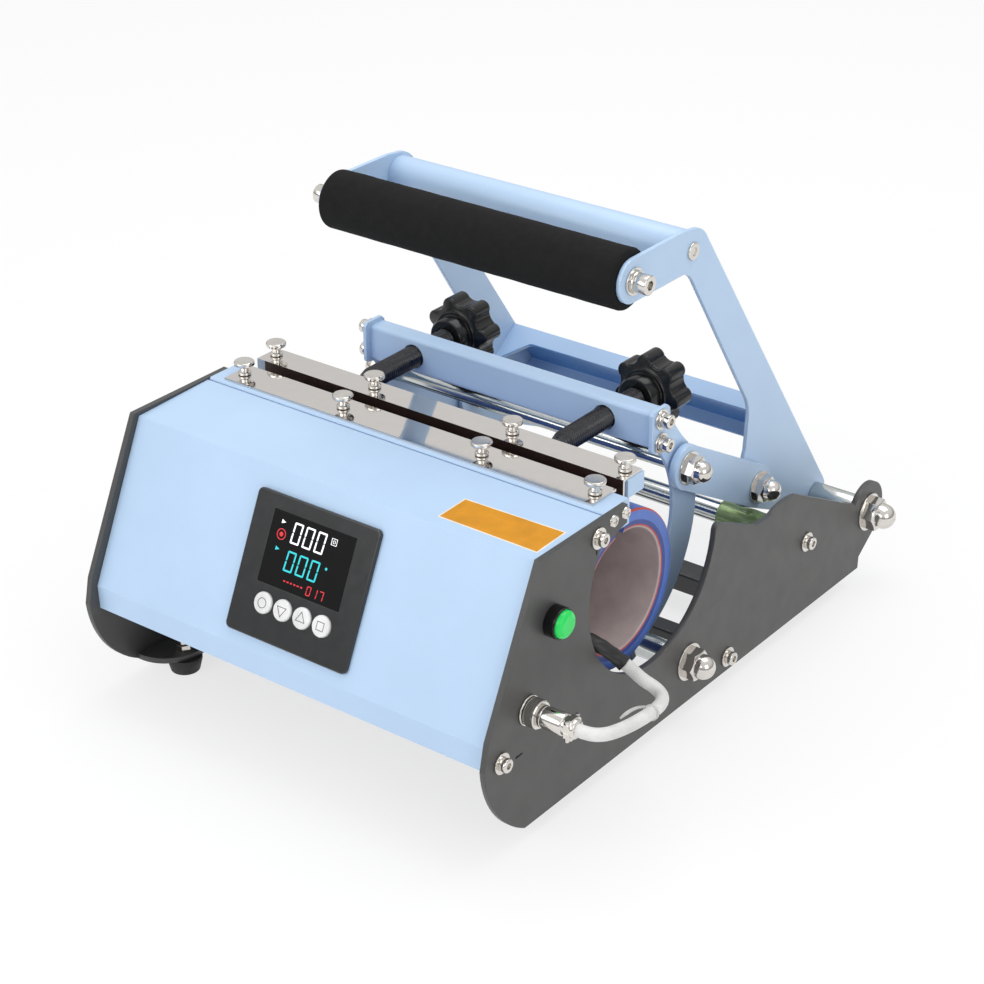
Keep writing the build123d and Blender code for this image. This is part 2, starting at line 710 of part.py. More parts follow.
def lower_bars():
    """Two square cross bars that stand on the plates' flanges."""
    bars = []
    for (y_from, y_to), middle in [(bar_low, low_bar_mid), (bar_back, back_bar_mid)]:
        bar = block(-inner_half, inner_half, y_from, y_to, plate_t, plate_t + bar_h)
        bar = fillet(bar.edges().filter_by(Axis.X), 1.5)
        for side in (1, -1):
            hole = rod_x(middle, rod_screw_r + thread_gap, plate_out - rod_screw[3], inner_half + 1)
            if middle == low_bar_mid:
                bar -= hole if side > 0 else mirrored(hole)
        bars.append(bar)
    return bars


def electrics():
    """Relay and terminal block on the bottom cover, and the controller's case behind its front."""
    on_deck = (Align.CENTER, Align.CENTER, Align.MIN)
    relay = Pos(*relay_at, deck_z) * Box(*relay_size, align=on_deck)
    relay = fillet(relay.edges().filter_by(Axis.Z), 2.0)
    terminals = Pos(*terminal_at, deck_z) * Box(*terminal_size, align=on_deck)
    pitch = terminal_size[0] / terminal_count
    top = deck_z + terminal_size[2]
    for k in range(terminal_count):
        x = terminal_at[0] + (k + 0.5) * pitch - terminal_size[0] / 2
        terminals -= rod_z(x, terminal_at[1], pitch / 4, top - 8, top + 1)
    return relay, terminals


# ------------------------------------------------------------------- controller
def controller_front():
    """The controller's front: a shallow rounded frame with a window seat and button wells."""
    frame = rounded_block(control_w, control_h, 0, control_proud, 4.0)
    frame = fillet(frame.faces().sort_by(Axis.Z)[-1].edges(), 1.0)
    frame -= Pos(0, window_up, control_proud) * Box(window_w + 0.2, window_h + 0.2, 2 * window_t)
    for x in button_xs():
        frame -= Pos(x, button_up, 0) * Cylinder(button_r + 0.3, 20)
    return panel_plane(control_x, control_up) * frame


def button_xs():
    return [(k - 1.5) * button_pitch for k in range(4)]


def controller_case():
    """The controller's body, let into the casing."""
    case = Pos(0, 0, -control_body_d / 2) * Box(control_body_w, control_body_h, control_body_d)
    case = fillet(case.edges().filter_by(Axis.Z), 3.0)
    for x in button_xs():
        case -= Pos(x, button_up, 0) * Cylinder(button_r + 0.3, 2 * (button_stem + 0.5))
    return panel_plane(control_x, control_up) * case


def display_window():
    pane = rounded_block(window_w, window_h, control_proud - window_t, control_proud, 1.0)
    return panel_plane(control_x, control_up + window_up) * pane


def control_button(x):
    top = control_proud + button_travel + 0.4
    foot_at = button_travel - button_stem
    profile = [(0, foot_at), (button_r, foot_at), (button_r, top - 0.8),
               (button_r - 0.8, top), (0, top)]
    return turned(profile, panel_plane(control_x + x, control_up + button_up))


# ------------------------------------------------------------------- swing frame
def arm_face():
    """A curved arm in (y, z), from the low pivot round behind the mat up to the beam."""
    low_angle = math.degrees(math.atan2(pivot_low[1] - arm_centre[1], pivot_low[0] - arm_centre[0]))
    inner_low = away(arm_centre, arm_inner_r, low_angle)
    outer_low = away(arm_centre, arm_outer_r, low_angle)
    front = beam[0] - arm_rim
    shoulder = away(arm_centre, arm_outer_r - 2.3, 26.3)
    face = outline(
        inner_low,
        (away(arm_centre, arm_inner_r, 0), away(arm_centre, arm_inner_r, 44)),
        (front + 1.5, beam[2] - 0.7),
        (front, beam[2] + 1.0),
        (front, arm_top - 2.5),
        (front + 2.5, arm_top),
        (beam[1] - 2.6, arm_top),
        (beam[1] + 0.3, arm_top - 2.6),
        (beam[1] + 1.0, beam[3] - 5.0),
        ((beam[1] + 8.5, beam[2] + 8.8), shoulder),
        (away(arm_centre, arm_outer_r, 0), outer_low),
    )
    face += Pos(*pivot_low) * Circle(arm_foot_r)
    face -= Pos(*pivot_low) * Circle(low_rod_r + pin_gap)
    face -= Pos(*pivot_arm) * Circle(arm_rod_r + thread_gap)
    for at in arm_screws:
        face -= Pos(*at) * Circle(arm_screw_r + thread_gap)
    return face


def curved_arm(side):
    arm = slab(arm_face(), arm_in, arm_out)
    return arm if side > 0 else mirrored(arm)


def pressure_beam():
    """A rectangular tube between the arms, with threaded bosses for the arm screws."""
    y_from, y_to, z_from, z_to = beam
    outer = block(-arm_in, arm_in, y_from, y_to, z_from, z_to)
    outer = fillet(outer.edges().filter_by(Axis.X), beam_corner_r)
    hollow = block(-arm_in - 1, arm_in + 1, y_from + beam_wall, y_to - beam_wall, z_from + beam_wall,
                   z_to - beam_wall)
    tube = outer - fillet(hollow.edges().filter_by(Axis.X), beam_corner_r / 2)
    boss_len = arm_screw[3]
    for side in (1, -1):
        boss = block(arm_in - boss_len, arm_in, y_from + 1, y_to - 1, z_from + 1, z_to - 1)
        tube += boss if side > 0 else mirrored(boss)
        for at in arm_screws:
            bore = rod_x(at, arm_screw_r + thread_gap, arm_in - boss_len + 1, arm_in + 1)
            tube -= bore if side > 0 else mirrored(bore)
        front_hole = rod_y(side * screw_x, screw_z, screw_r + screw_rim_gap, y_from - 1, y_from + beam_wall)
        tube -= front_hole + rod_y(side * screw_x, screw_z, bush_r, y_from + beam_wall, y_to + 1)
    return tube


def screw_bush(side):
    """The threaded bush welded inside the beam for a pressure screw."""
    x = side * screw_x
    y_from, y_to = beam[0] + beam_wall, beam[1] + 2.0
    bore = rod_y(x, screw_z, screw_r + pin_gap, y_from - 1, y_to + 1)
    return rod_y(x, screw_z, bush_r, y_from, y_to) - bore


def pressure_screw(side):
    """A long screw whose tip sits in the rear bar and whose tail carries the star knob."""
    x = side * screw_x
    tip_y = rear_bar[1] - 6.0
    neck_y = rear_bar[1] + 5.0
    thread_y = neck_y + 9.0
    tip = rod_y(x, screw_z, screw_tip_r, tip_y, neck_y)
    cone = Cone(screw_r - 2.4, screw_r, thread_y - neck_y)
    thread = rod_y(x, screw_z, screw_r, thread_y, knob_front_y + 6)
    return tip + Pos(x, (neck_y + thread_y) / 2, screw_z) * Rot(-90, 0, 0) * cone + thread


def star_knob(side):
    """A seven-lobed knob with a raised hub towards the beam."""
    ring = knob_r - knob_lobe_r
    step = 360 / knob_lobes
    scallop_at = knob_r + knob_scallop_out
    apart = math.sqrt(ring ** 2 + scallop_at ** 2 - 2 * ring * scallop_at * math.cos(math.radians(step / 2)))
    scallop_r = apart - knob_lobe_r
    disc = Circle(scallop_at - scallop_r + 1.5)
    for k in range(knob_lobes):
        disc += Rot(0, 0, step * k) * Pos(ring, 0) * Circle(knob_lobe_r)
    for k in range(knob_lobes):
        disc -= Rot(0, 0, step * (k + 0.5)) * Pos(scallop_at, 0) * Circle(scallop_r)
    star = extrude(disc, amount=knob_t)
    star = star + Pos(0, 0, -knob_hub_t / 2) * Cylinder(knob_hub_r, knob_hub_t)
    star -= Pos(0, 0, 3 - knob_hub_t) * Cylinder(screw_r + 0.02, 6.0)
    place = Pos(side * screw_x, knob_front_y + knob_hub_t, screw_z) * Rot(-90, 0, 0)
    return place * Rot(0, 0, knob_turn * side) * star


def rear_clamp_bar():
    y_from, y_to, z_from, z_to = rear_bar
    bar = block(-bar_half, bar_half, y_from, y_to, z_from, z_to)
    bar = chamfer(bar.edges().filter_by(Axis.X).group_by(Axis.Z)[0], 1.0)
    for x in thumb_xs:
        bar -= rod_z(x, thumb_rear_y, thumb_shank_r + pin_gap, z_from + 1.5, z_to + 1)
    for side in (1, -1):
        bar -= rod_y(side * screw_x, screw_z, screw_tip_r + pin_gap, y_to - 6.3, y_to + 1)
    return bar


def rear_clamp_strip():
    """An angle strip: a flat on the bar and a lip down its front."""
    y_to, z_to = rear_bar[1], rear_bar[3]
    lip_y = hem_rear - strip_t
    flat = block(-strip_half, strip_half, lip_y, y_to - 1, z_to, z_to + strip_t)
    lip = block(-strip_half, strip_half, lip_y, hem_rear, z_to + strip_t - strip_lip, z_to + strip_t)
    strip = flat + lip
    for x in thumb_xs:
        strip -= rod_z(x, thumb_rear_y, thumb_shank_r + pin_gap, z_to - 1, z_to + strip_t + 1)
    return strip


# ------------------------------------------------------------------- handle
def handle_face():
    """A handle arm in (y, z): toggle elbow, rear pivot, long leg up and the nose to the grip."""
    top, grip = handle_top, grip_at
    elbow_low = (pivot_mid[0] + link_down[0] * elbow_r, pivot_mid[1] + link_down[1] * elbow_r)
    heel_low = (pivot_rear[0] + link_down[0] * heel_r, pivot_rear[1] + link_down[1] * heel_r)
    elbow_front = away(pivot_mid, elbow_r, 180)
    elbow_mid = away(pivot_mid, elbow_r, 215)
    heel_rear = away(pivot_rear, heel_r, 35)
    waist = [(pivot_mid[0] - forward, pivot_mid[1] + up) for forward, up in handle_waist]
    face = outline(
        elbow_low,
        heel_low,
        (away(pivot_rear, heel_r, -25), heel_rear),
        handle_crown,
        ((top[0] + 10.5, top[1] + 11.5), (top[0] - 1.0, top[1] + 15.0)),
        (top[0] - 11.0, grip[1] + nose_r),
        (grip[0], grip[1] + nose_r),
        (away(grip, nose_r, 180), (grip[0], grip[1] - nose_r)),
        (top[0] - 8.0, grip[1] - nose_r),
        ((top[0] - 3.5, top[1] - 15.6), (top[0] + 1.5, top[1] - 20.5)),
        waist[0],
        (waist[1], waist[2]),
        waist[3],
        (waist[4], elbow_front),
        (elbow_mid, elbow_low),
    )
    face -= Pos(*pivot_rear) * Circle(rear_rod_r + pin_gap)
    face -= Pos(*pivot_mid) * Circle(mid_bolt_r + pin_gap)
    face -= Pos(*top) * Circle(handle_screw_r + thread_gap)
    face -= Pos(*grip) * Circle(grip_bolt_r + thread_gap)
    return face


def handle_arm(side):
    arm = slab(handle_face(), arm_in, arm_out)
    return arm if side > 0 else mirrored(arm)


def cross_channel():
    """A channel between the handle arms: web along their rear edge, flanges facing forward."""
    heel = away(pivot_rear, heel_r, 35)
    run = math.dist(heel, handle_crown)
    down = ((heel[0] - handle_crown[0]) / run, (heel[1] - handle_crown[1]) / run)
    start = run - channel_from_heel
    corner = (handle_crown[0] + down[0] * start + down[1] * 0.5,
              handle_crown[1] + down[1] * start - down[0] * 0.5)
    plane = Plane(origin=(0, corner[0], corner[1]), x_dir=(1, 0, 0), z_dir=(0, -down[0], -down[1]))
    half = arm_in
    reach = channel_depth + gusset
    flange = make_face(Polyline(
        (-half, 0), (half, 0), (half, -reach), (half - gusset, -channel_depth),
        (gusset - half, -channel_depth), (-half, -reach), close=True))
    flange = fillet(flange.vertices().group_by(Axis.Y)[1], 6.0)
    upper = extrude(flange, amount=-channel_t)
    lower = Pos(0, -channel_depth / 2, -channel_web + channel_t / 2) * Box(2 * half, channel_depth, channel_t)
    web = Pos(0, -channel_t / 2, -channel_web / 2) * Box(2 * half, channel_t, channel_web)
    return plane.location * (upper + lower + web)


def cross_tube():
    tube = rod_x(handle_top, tube_r, -arm_in, arm_in)
    tube -= rod_x(handle_top, tube_r - tube_wall, -arm_in - 1, arm_in + 1)
    for side in (1, -1):
        plug = rod_x(handle_top, tube_r - tube_wall, arm_in - 20, arm_in)
        plug -= rod_x(handle_top, handle_screw_r + thread_gap, arm_in - 21, arm_in + 1)
        tube += plug if side > 0 else mirrored(plug)
    return tube


def grip_rod():
    rod = rod_x(grip_at, grip_rod_r + 2, -arm_in, arm_in)
    for side in (1, -1):
        hole = rod_x(grip_at, grip_bolt_r + thread_gap, arm_in - 21, arm_in + 1)
        rod -= hole if side > 0 else mirrored(hole)
    return rod


def foam_grip():
    foam = rod_x(grip_at, foam_r, -arm_in + 0.4, arm_in - 0.4)
    foam = fillet(foam.edges().filter_by(GeomType.CIRCLE), 2.5)
    return foam - rod_x(grip_at, grip_rod_r + 2.05, -arm_in - 1, arm_in + 1)


# ------------------------------------------------------------------- links
def link_plate(side):
    """The straight link between the elbow and the curved arm, outside both."""
    run = math.dist(pivot_mid, pivot_arm)
    ends = [Pos(*at) * Circle(link_end_r) for at in (pivot_mid, pivot_arm)]
    half_w = link_half_w / run
    over = ((pivot_mid[1] - pivot_arm[1]) * half_w, (pivot_arm[0] - pivot_mid[0]) * half_w)
    corners = [(at[0] + sign * over[0], at[1] + sign * over[1]) for at, sign in
               ((pivot_mid, 1), (pivot_arm, 1), (pivot_arm, -1), (pivot_mid, -1))]
    waist = make_face(Polyline(*corners, close=True))
    face = ends[0] + ends[1] + waist
    face -= Pos(*pivot_mid) * Circle(mid_bolt_r + fit_gap)
    face -= Pos(*pivot_arm) * Circle(arm_rod_r + fit_gap)
    plate = slab(face, link_in, link_out)
    return plate if side > 0 else mirrored(plate)


def link_bolts(side):
    """The elbow's bolt, headed inside the handle arm, and the stub at the link's far end."""
    tail = washer_t + stub_end
    head_r, head_h = link_head
    head = rod_x(pivot_mid, head_r, arm_in - run_gap - head_h, arm_in - run_gap)
    elbow = head + rod_x(pivot_mid, mid_bolt_r, arm_in - run_gap, link_out + tail)
    stub = rod_x(pivot_arm, arm_rod_r, link_in - link_spacer_t, link_out + tail)
    return [elbow, stub] if side > 0 else [mirrored(elbow), mirrored(stub)]


def link_nuts(side):
    """A spacer washer inside each end of a link, and a washer and a cap nut outside it."""
    pieces = []
    for at, radius in ((pivot_mid, mid_bolt_r), (pivot_arm, arm_rod_r)):
        inner = facing(side, link_in - link_spacer_t, at)
        pieces.append(inner * washer(radius + fit_gap, link_spacer_r, link_spacer_t))
        base = facing(side, link_out, at)
        pieces.append(base * washer(radius + fit_gap, link_washer_r, washer_t))
        pieces.append(base * Pos(0, 0, washer_t) * cap_nut(radius + fit_gap, *link_nut))
    return pieces


# ------------------------------------------------------------------- rods in the base
def pivot_rod(at, radius):
    end = plate_out + washer_t + rod_end
    return rod_x(at, radius, -end, end)


def pivot_nuts(at, radius, flats, height):
    nuts = []
    for side in (1, -1):
        base = facing(side, plate_out, at)
        nuts.append(base * Pos(0, 0, washer_t) * cap_nut(radius + fit_gap, flats, height))
    return nuts


def pivot_washers(at, radius, outer):
    return [facing(side, plate_out, at) * washer(radius + fit_gap, outer, washer_t) for side in (1, -1)]


def spacers(at, radius):
    """Tubes on a pivot rod that keep an arm in place between it and the plate."""
    tubes = []
    for side in (1, -1):
        tube = rod_x(at, radius + spacer_wall, arm_out + run_gap, plate_in)
        tube -= rod_x(at, radius + fit_gap, arm_out, plate_in + 1)
        tubes.append(tube if side > 0 else mirrored(tube))
    return tubes


def bumper_rod():
    rod = rod_x(bumper_at, bumper_r, -plate_in, plate_in)
    for side in (1, -1):
        hole = rod_x(bumper_at, rod_screw_r + thread_gap, plate_out - rod_screw[3], plate_in + 1)
        rod -= hole if side > 0 else mirrored(hole)
    return rod


def bumper_sleeve(side):
    x_to = plate_in - sleeve_room
    sleeve = rod_x(bumper_at, sleeve_r, x_to - sleeve_len, x_to)
    sleeve -= rod_x(bumper_at, bumper_r + fit_gap, x_to - sleeve_len - 1, x_to + 1)
    return sleeve if side > 0 else mirrored(sleeve)


def plate_screws():
    """Cap screws with washers: casing, bumper rod and lower bar, on both plates."""
    screws, washers = [], []
    for side in (1, -1):
        for at in casing_screws + [bumper_at, low_bar_mid]:
            size = casing_screw if at in casing_screws else rod_screw
            base = facing(side, plate_out, at)
            washers.append(base * washer(size[0] + fit_gap, screw_washer_r, washer_t))
            screws.append(base * Pos(0, 0, washer_t) * socket_screw(*size))
    return screws, washers


def bar_end_screws():
    places = [facing(side, plate_out, at) for side in (1, -1) for at in bar_screws]
    return [place * flat_screw(*bar_screw) for place in places]


def arm_cap_screws():
    """The beam's screws, each on a flat washer and a spring washer."""
    pieces = []
    spring_r, spring_t = spring_washer
    for side in (1, -1):
        for at in arm_screws:
            base = facing(side, arm_out, at)
            pieces.append(base * washer(arm_screw_r + fit_gap, screw_washer_r, washer_t))
            pieces.append(base * Pos(0, 0, washer_t) * washer(arm_screw_r + fit_gap, spring_r, spring_t))
            pieces.append(base * Pos(0, 0, washer_t + spring_t) * socket_screw(*arm_screw))
    return pieces


def handle_screws():
    """Countersunk screws into the cross tube, and the bolts and stacked washers of the grip."""
    pieces = []
    for side in (1, -1):
        pieces.append(facing(side, arm_out, handle_top) * socket_screw(*tube_screw))
        base = facing(side, arm_out, grip_at)
        pieces.append(base * washer(grip_bolt_r + fit_gap, grip_washer_r, washer_t))
        pieces.append(base * Pos(0, 0, washer_t) * washer(grip_bolt_r + fit_gap, *grip_collar))
        pieces.append(base * Pos(0, 0, washer_t + grip_collar[1]) * socket_screw(*grip_bolt))
    return pieces


# ------------------------------------------------------------------- write the nodes
sides = ((1, "right"), (-1, "left"))
for side, word in sides:
    save(f"side_plate_{word}", side_plate(side))
feet = [(side, y) for side in (1, -1) for y in (foot_front_y, foot_rear_y)]
save("rubber_feet", *[foot(*place) for place in feet])
save("foot_screws", *[foot_screw(*place) for place in feet])
save("front_casing", front_casing())
save("heat_shield", heat_shield())
save("bottom_cover", bottom_cover())
save("front_channel_bar", front_channel_bar())
save("front_clamp_strip", front_clamp_strip())
save("heating_mat", heating_mat(), mat_ring(mat_bore_r, mat_bore_r + lining_t))
save("base_cross_bars", *lower_bars())
relay, terminals = electrics()
save("heater_relay", relay)
save("terminal_block", terminals)
save("controller_front", controller_front())
save("controller_case", controller_case())
save("display_window", display_window())
save("power_switch_body", power_bezel(), *power_switch_body())
save("panel_socket", panel_socket())
save("mat_plug", plug_body(), plug_ring())
save("mains_inlet", mains_inlet())
rods = [pivot_rod(pivot_rear, rear_rod_r), pivot_rod(pivot_low, low_rod_r), bumper_rod()]
save("cross_rods", *rods, *spacers(pivot_low, low_rod_r))
rear_nuts = pivot_nuts(pivot_rear, rear_rod_r, *rear_nut)
low_nuts = pivot_nuts(pivot_low, low_rod_r, *low_nut)
save("pivot_cap_nuts", *rear_nuts, *low_nuts)
save("pivot_spacers", *spacers(pivot_rear, rear_rod_r))
save("bumper_sleeves", *both(bumper_sleeve))
screws, washers = plate_screws()
washers += pivot_washers(pivot_rear, rear_rod_r, rear_washer_r)
washers += pivot_washers(pivot_low, low_rod_r, low_washer_r)
save("plate_screws", *screws, *washers)
save("crosshead_screws", *bar_end_screws(), *mains_screws())

lead_path = cord_path(lead_route, route_radii(lead_route))
save("mat_lead", cord_tube(lead_path, lead_r))
save("mat_lead_boot", cord_tube(boot_path(), boot_r, lead_r + 0.05))

save("power_button", power_button())
for number, x in enumerate(button_xs(), start=1):
    save(f"control_button_{number}", control_button(x))
front_seat = front_bar[3] + strip_t + run_gap
rear_seat = rear_bar[3] + strip_t + run_gap
for number, x in enumerate(thumb_xs, start=1):
    save(f"front_thumbscrew_{number}", thumbscrew(x, thumb_front_y, front_seat, thumb_front_depth))
    save(f"rear_thumbscrew_{number}", thumbscrew(x, thumb_rear_y, rear_seat, thumb_rear_depth))

for side, word in sides:
    save(f"handle_arm_{word}", handle_arm(side))
save("handle_cross_channel", cross_channel())
save("handle_cross_tube", cross_tube())
save("grip_rod", grip_rod())
save("foam_grip", foam_grip())
save("handle_screws", *handle_screws())

for side, word in sides:
    save(f"link_{word}", link_plate(side))
save("link_bolts", *[piece for side in (1, -1) for piece in link_bolts(side) + link_nuts(side)])

for side, word in sides:
    save(f"curved_arm_{word}", curved_arm(side))
    save(f"star_knob_screw_{word}", pressure_screw(side), star_knob(side))
save("pressure_beam", pressure_beam(), *both(screw_bush))
save("beam_screws", *arm_cap_screws())
save("arm_rod", rod_x(pivot_arm, arm_rod_r, -arm_out, arm_out))
save("rear_clamp_bar", rear_clamp_bar())
save("rear_clamp_strip", rear_clamp_strip())

section = math.pi * lead_r ** 2
print("lead radii:", [round(r, 1) for r in route_radii(lead_route)])
print("lead volume:", round(cord_tube(lead_path, lead_r).volume))
print("section x length:", round(section * lead_path.length), "length:", round(lead_path.length, 1))
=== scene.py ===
"""Looks of the tumbler heat press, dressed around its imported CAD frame.

Everything is in metres in the row frame: +X to the machine's right, +Y to its rear, +Z up,
with the bench at z = 0. Sizes come from the frame's boxes and joints wherever they can.
"""
import json
import math

import bpy
from mathutils import Matrix, Vector

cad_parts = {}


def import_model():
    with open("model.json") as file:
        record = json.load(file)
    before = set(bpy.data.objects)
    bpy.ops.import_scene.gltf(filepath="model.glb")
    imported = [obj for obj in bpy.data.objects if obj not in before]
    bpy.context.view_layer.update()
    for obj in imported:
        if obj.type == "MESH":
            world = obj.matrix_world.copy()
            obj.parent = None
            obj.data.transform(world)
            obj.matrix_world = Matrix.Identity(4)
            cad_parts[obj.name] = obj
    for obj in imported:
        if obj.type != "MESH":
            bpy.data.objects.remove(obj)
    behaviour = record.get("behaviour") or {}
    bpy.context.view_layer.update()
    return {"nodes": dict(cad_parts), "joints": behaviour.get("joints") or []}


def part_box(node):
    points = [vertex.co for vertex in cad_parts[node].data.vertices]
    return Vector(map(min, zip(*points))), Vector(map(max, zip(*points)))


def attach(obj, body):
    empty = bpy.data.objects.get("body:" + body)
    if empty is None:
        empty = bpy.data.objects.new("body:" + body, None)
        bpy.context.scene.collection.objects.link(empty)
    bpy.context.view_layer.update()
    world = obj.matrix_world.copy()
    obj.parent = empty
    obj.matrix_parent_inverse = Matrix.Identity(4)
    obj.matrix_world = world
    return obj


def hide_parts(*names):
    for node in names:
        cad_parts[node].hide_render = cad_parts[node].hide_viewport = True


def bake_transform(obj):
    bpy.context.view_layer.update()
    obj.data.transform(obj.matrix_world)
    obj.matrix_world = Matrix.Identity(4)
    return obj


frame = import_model()
nodes = frame["nodes"]
joints = {joint["name"]: joint for joint in frame["joints"]}

MM = 0.001
SIDES = (("right", 1), ("left", -1))
DRAWN_MIDDLE = 61.75          # mm, the footprint's middle behind the cradle's middle
FOOT = 11.0                   # mm, height of the rubber feet


def at(x, y, z):
    """A point given in millimetres from the cradle's middle and the plates' lower edge."""
    return Vector((x * MM, (y - DRAWN_MIDDLE) * MM, (z + FOOT) * MM))


def corners(node):
    low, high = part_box(node)
    return Vector(low), Vector(high)


def middle(node):
    low, high = corners(node)
    return (low + high) / 2


# ------------------------------------------------------------------ shader building
def feed(tree, target, value):
    """Link a socket to another, or give it a constant."""
    if isinstance(value, bpy.types.NodeSocket):
        tree.links.new(value, target)
    else:
        target.default_value = value


class Surface:
    """A material of one Principled shader, with noise-driven colour, roughness and bump."""

    def __init__(self, name, colour, roughness, **sockets):
        self.material = bpy.data.materials.new(name)
        self.material.use_nodes = True
        self.tree = self.material.node_tree
        self.shader = self.tree.nodes["Principled BSDF"]
        self.colour = (*colour, 1.0)
        self.roughness = roughness
        self.shader.inputs["Base Color"].default_value = self.colour
        self.shader.inputs["Roughness"].default_value = roughness
        for socket, value in sockets.items():
            self.shader.inputs[socket.replace("_", " ")].default_value = value
        self.coords = self.add("ShaderNodeTexCoord").outputs["Object"]
        self.height = None

    def add(self, kind, **inputs):
        node = self.tree.nodes.new(kind)
        for socket, value in inputs.items():
            feed(self.tree, node.inputs[socket.replace("_", " ")], value)
        return node

    def noise(self, scale, detail=3.0, stretch=(1, 1, 1)):
        spread = self.add("ShaderNodeMapping", Vector=self.coords, Scale=stretch)
        texture = self.add("ShaderNodeTexNoise", Vector=spread.outputs[0], Scale=scale, Detail=detail,
                           Roughness=0.55)
        return texture.outputs["Fac"]

    def span(self, value, low, high, start=0.3, end=0.7):
        """The value's start to end stretched over low to high."""
        ramp = self.add("ShaderNodeMapRange", Value=value, From_Min=start, From_Max=end,
                        To_Min=low, To_Max=high)
        return ramp.outputs[0]

    def mix_base(self, share, low, high):
        """The base colour runs from low to high as share goes from 0 to 1."""
        mix = self.tree.nodes.new("ShaderNodeMix")
        mix.data_type = "RGBA"
        self.tree.links.new(share, mix.inputs["Factor"])
        feed(self.tree, mix.inputs["A"], low)
        feed(self.tree, mix.inputs["B"], high)
        self.tree.links.new(mix.outputs["Result"], self.shader.inputs["Base Color"])
        return self

    def mottle(self, scale, darker, lighter):
        """The base colour times darker to lighter, over soft patches."""
        share = self.span(self.noise(scale, detail=4.0), 0.0, 1.0)
        dark = (*[c * darker for c in self.colour[:3]], 1.0)
        light = (*[min(1.0, c * lighter) for c in self.colour[:3]], 1.0)
        return self.mix_base(share, dark, light)

    def paint_forward_shade(self, colour):
        """Painted shade: a deeper colour on the faces that look towards -Y in the object's frame."""
        normal = self.add("ShaderNodeTexCoord").outputs["Normal"]
        forward = self.add("ShaderNodeSeparateXYZ", Vector=normal).outputs["Y"]
        share = self.span(forward, 0.0, 1.0, start=-0.55, end=-0.75)
        under = self.shader.inputs["Base Color"].links[0].from_socket
        return self.mix_base(share, under, (*colour, 1.0))

    def scuff(self, scale, change, stretch=(1, 1, 1)):
        """Roughness that wanders by change either way."""
        wander = self.noise(scale, detail=5.0, stretch=stretch)
        level = self.span(wander, self.roughness - change, self.roughness + change)
        self.tree.links.new(level, self.shader.inputs["Roughness"])
        return self

    def bump(self, value, strength, distance=0.2 * MM):
        node = self.add("ShaderNodeBump", Height=value, Strength=strength, Distance=distance)
        if self.height is not None:
            self.tree.links.new(self.height, node.inputs["Normal"])
        self.height = node.outputs[0]
        self.tree.links.new(self.height, self.shader.inputs["Normal"])
        return self


def powder_coat(name, colour, roughness, grain=900, inside=None):
    """Sprayed paint; inside is a painted shade, a deeper colour on faces that look forward, as in a channel.
    """
    surface = Surface(name, colour, roughness, Coat_Weight=0.25, Coat_Roughness=0.35)
    surface.mottle(scale=14, darker=0.97, lighter=1.03).scuff(scale=60, change=0.05)
    if inside:
        surface.paint_forward_shade(inside)
    surface.bump(surface.noise(grain, detail=2.0), strength=0.16)
    return surface.bump(surface.noise(90, detail=2.0), strength=0.05, distance=0.6 * MM)


def plated(name, colour, roughness, grain=0.06, stretch=(1, 1, 1), patchy=0.10):
    surface = Surface(name, colour, roughness, Metallic=1.0)
    surface.mottle(scale=120, darker=1 - patchy, lighter=1 + patchy / 2)
    surface.scuff(scale=220, change=roughness * 0.45, stretch=stretch)
    return surface.bump(surface.noise(1400, stretch=stretch), strength=grain)


def moulded(name, colour, roughness, grain=0.25, grain_scale=1500, **sockets):
    surface = Surface(name, colour, roughness, **sockets)
    surface.mottle(scale=70, darker=0.88, lighter=1.1).scuff(scale=180, change=0.05)
    return surface.bump(surface.noise(grain_scale, detail=2.0), strength=grain)


def glowing(name, colour, strength):
    """A lit segment of the display."""
    surface = Surface(name, colour, roughness=0.4, Emission_Color=(*colour, 1.0), Emission_Strength=strength)
    return surface.mottle(scale=2500, darker=0.9, lighter=1.1)


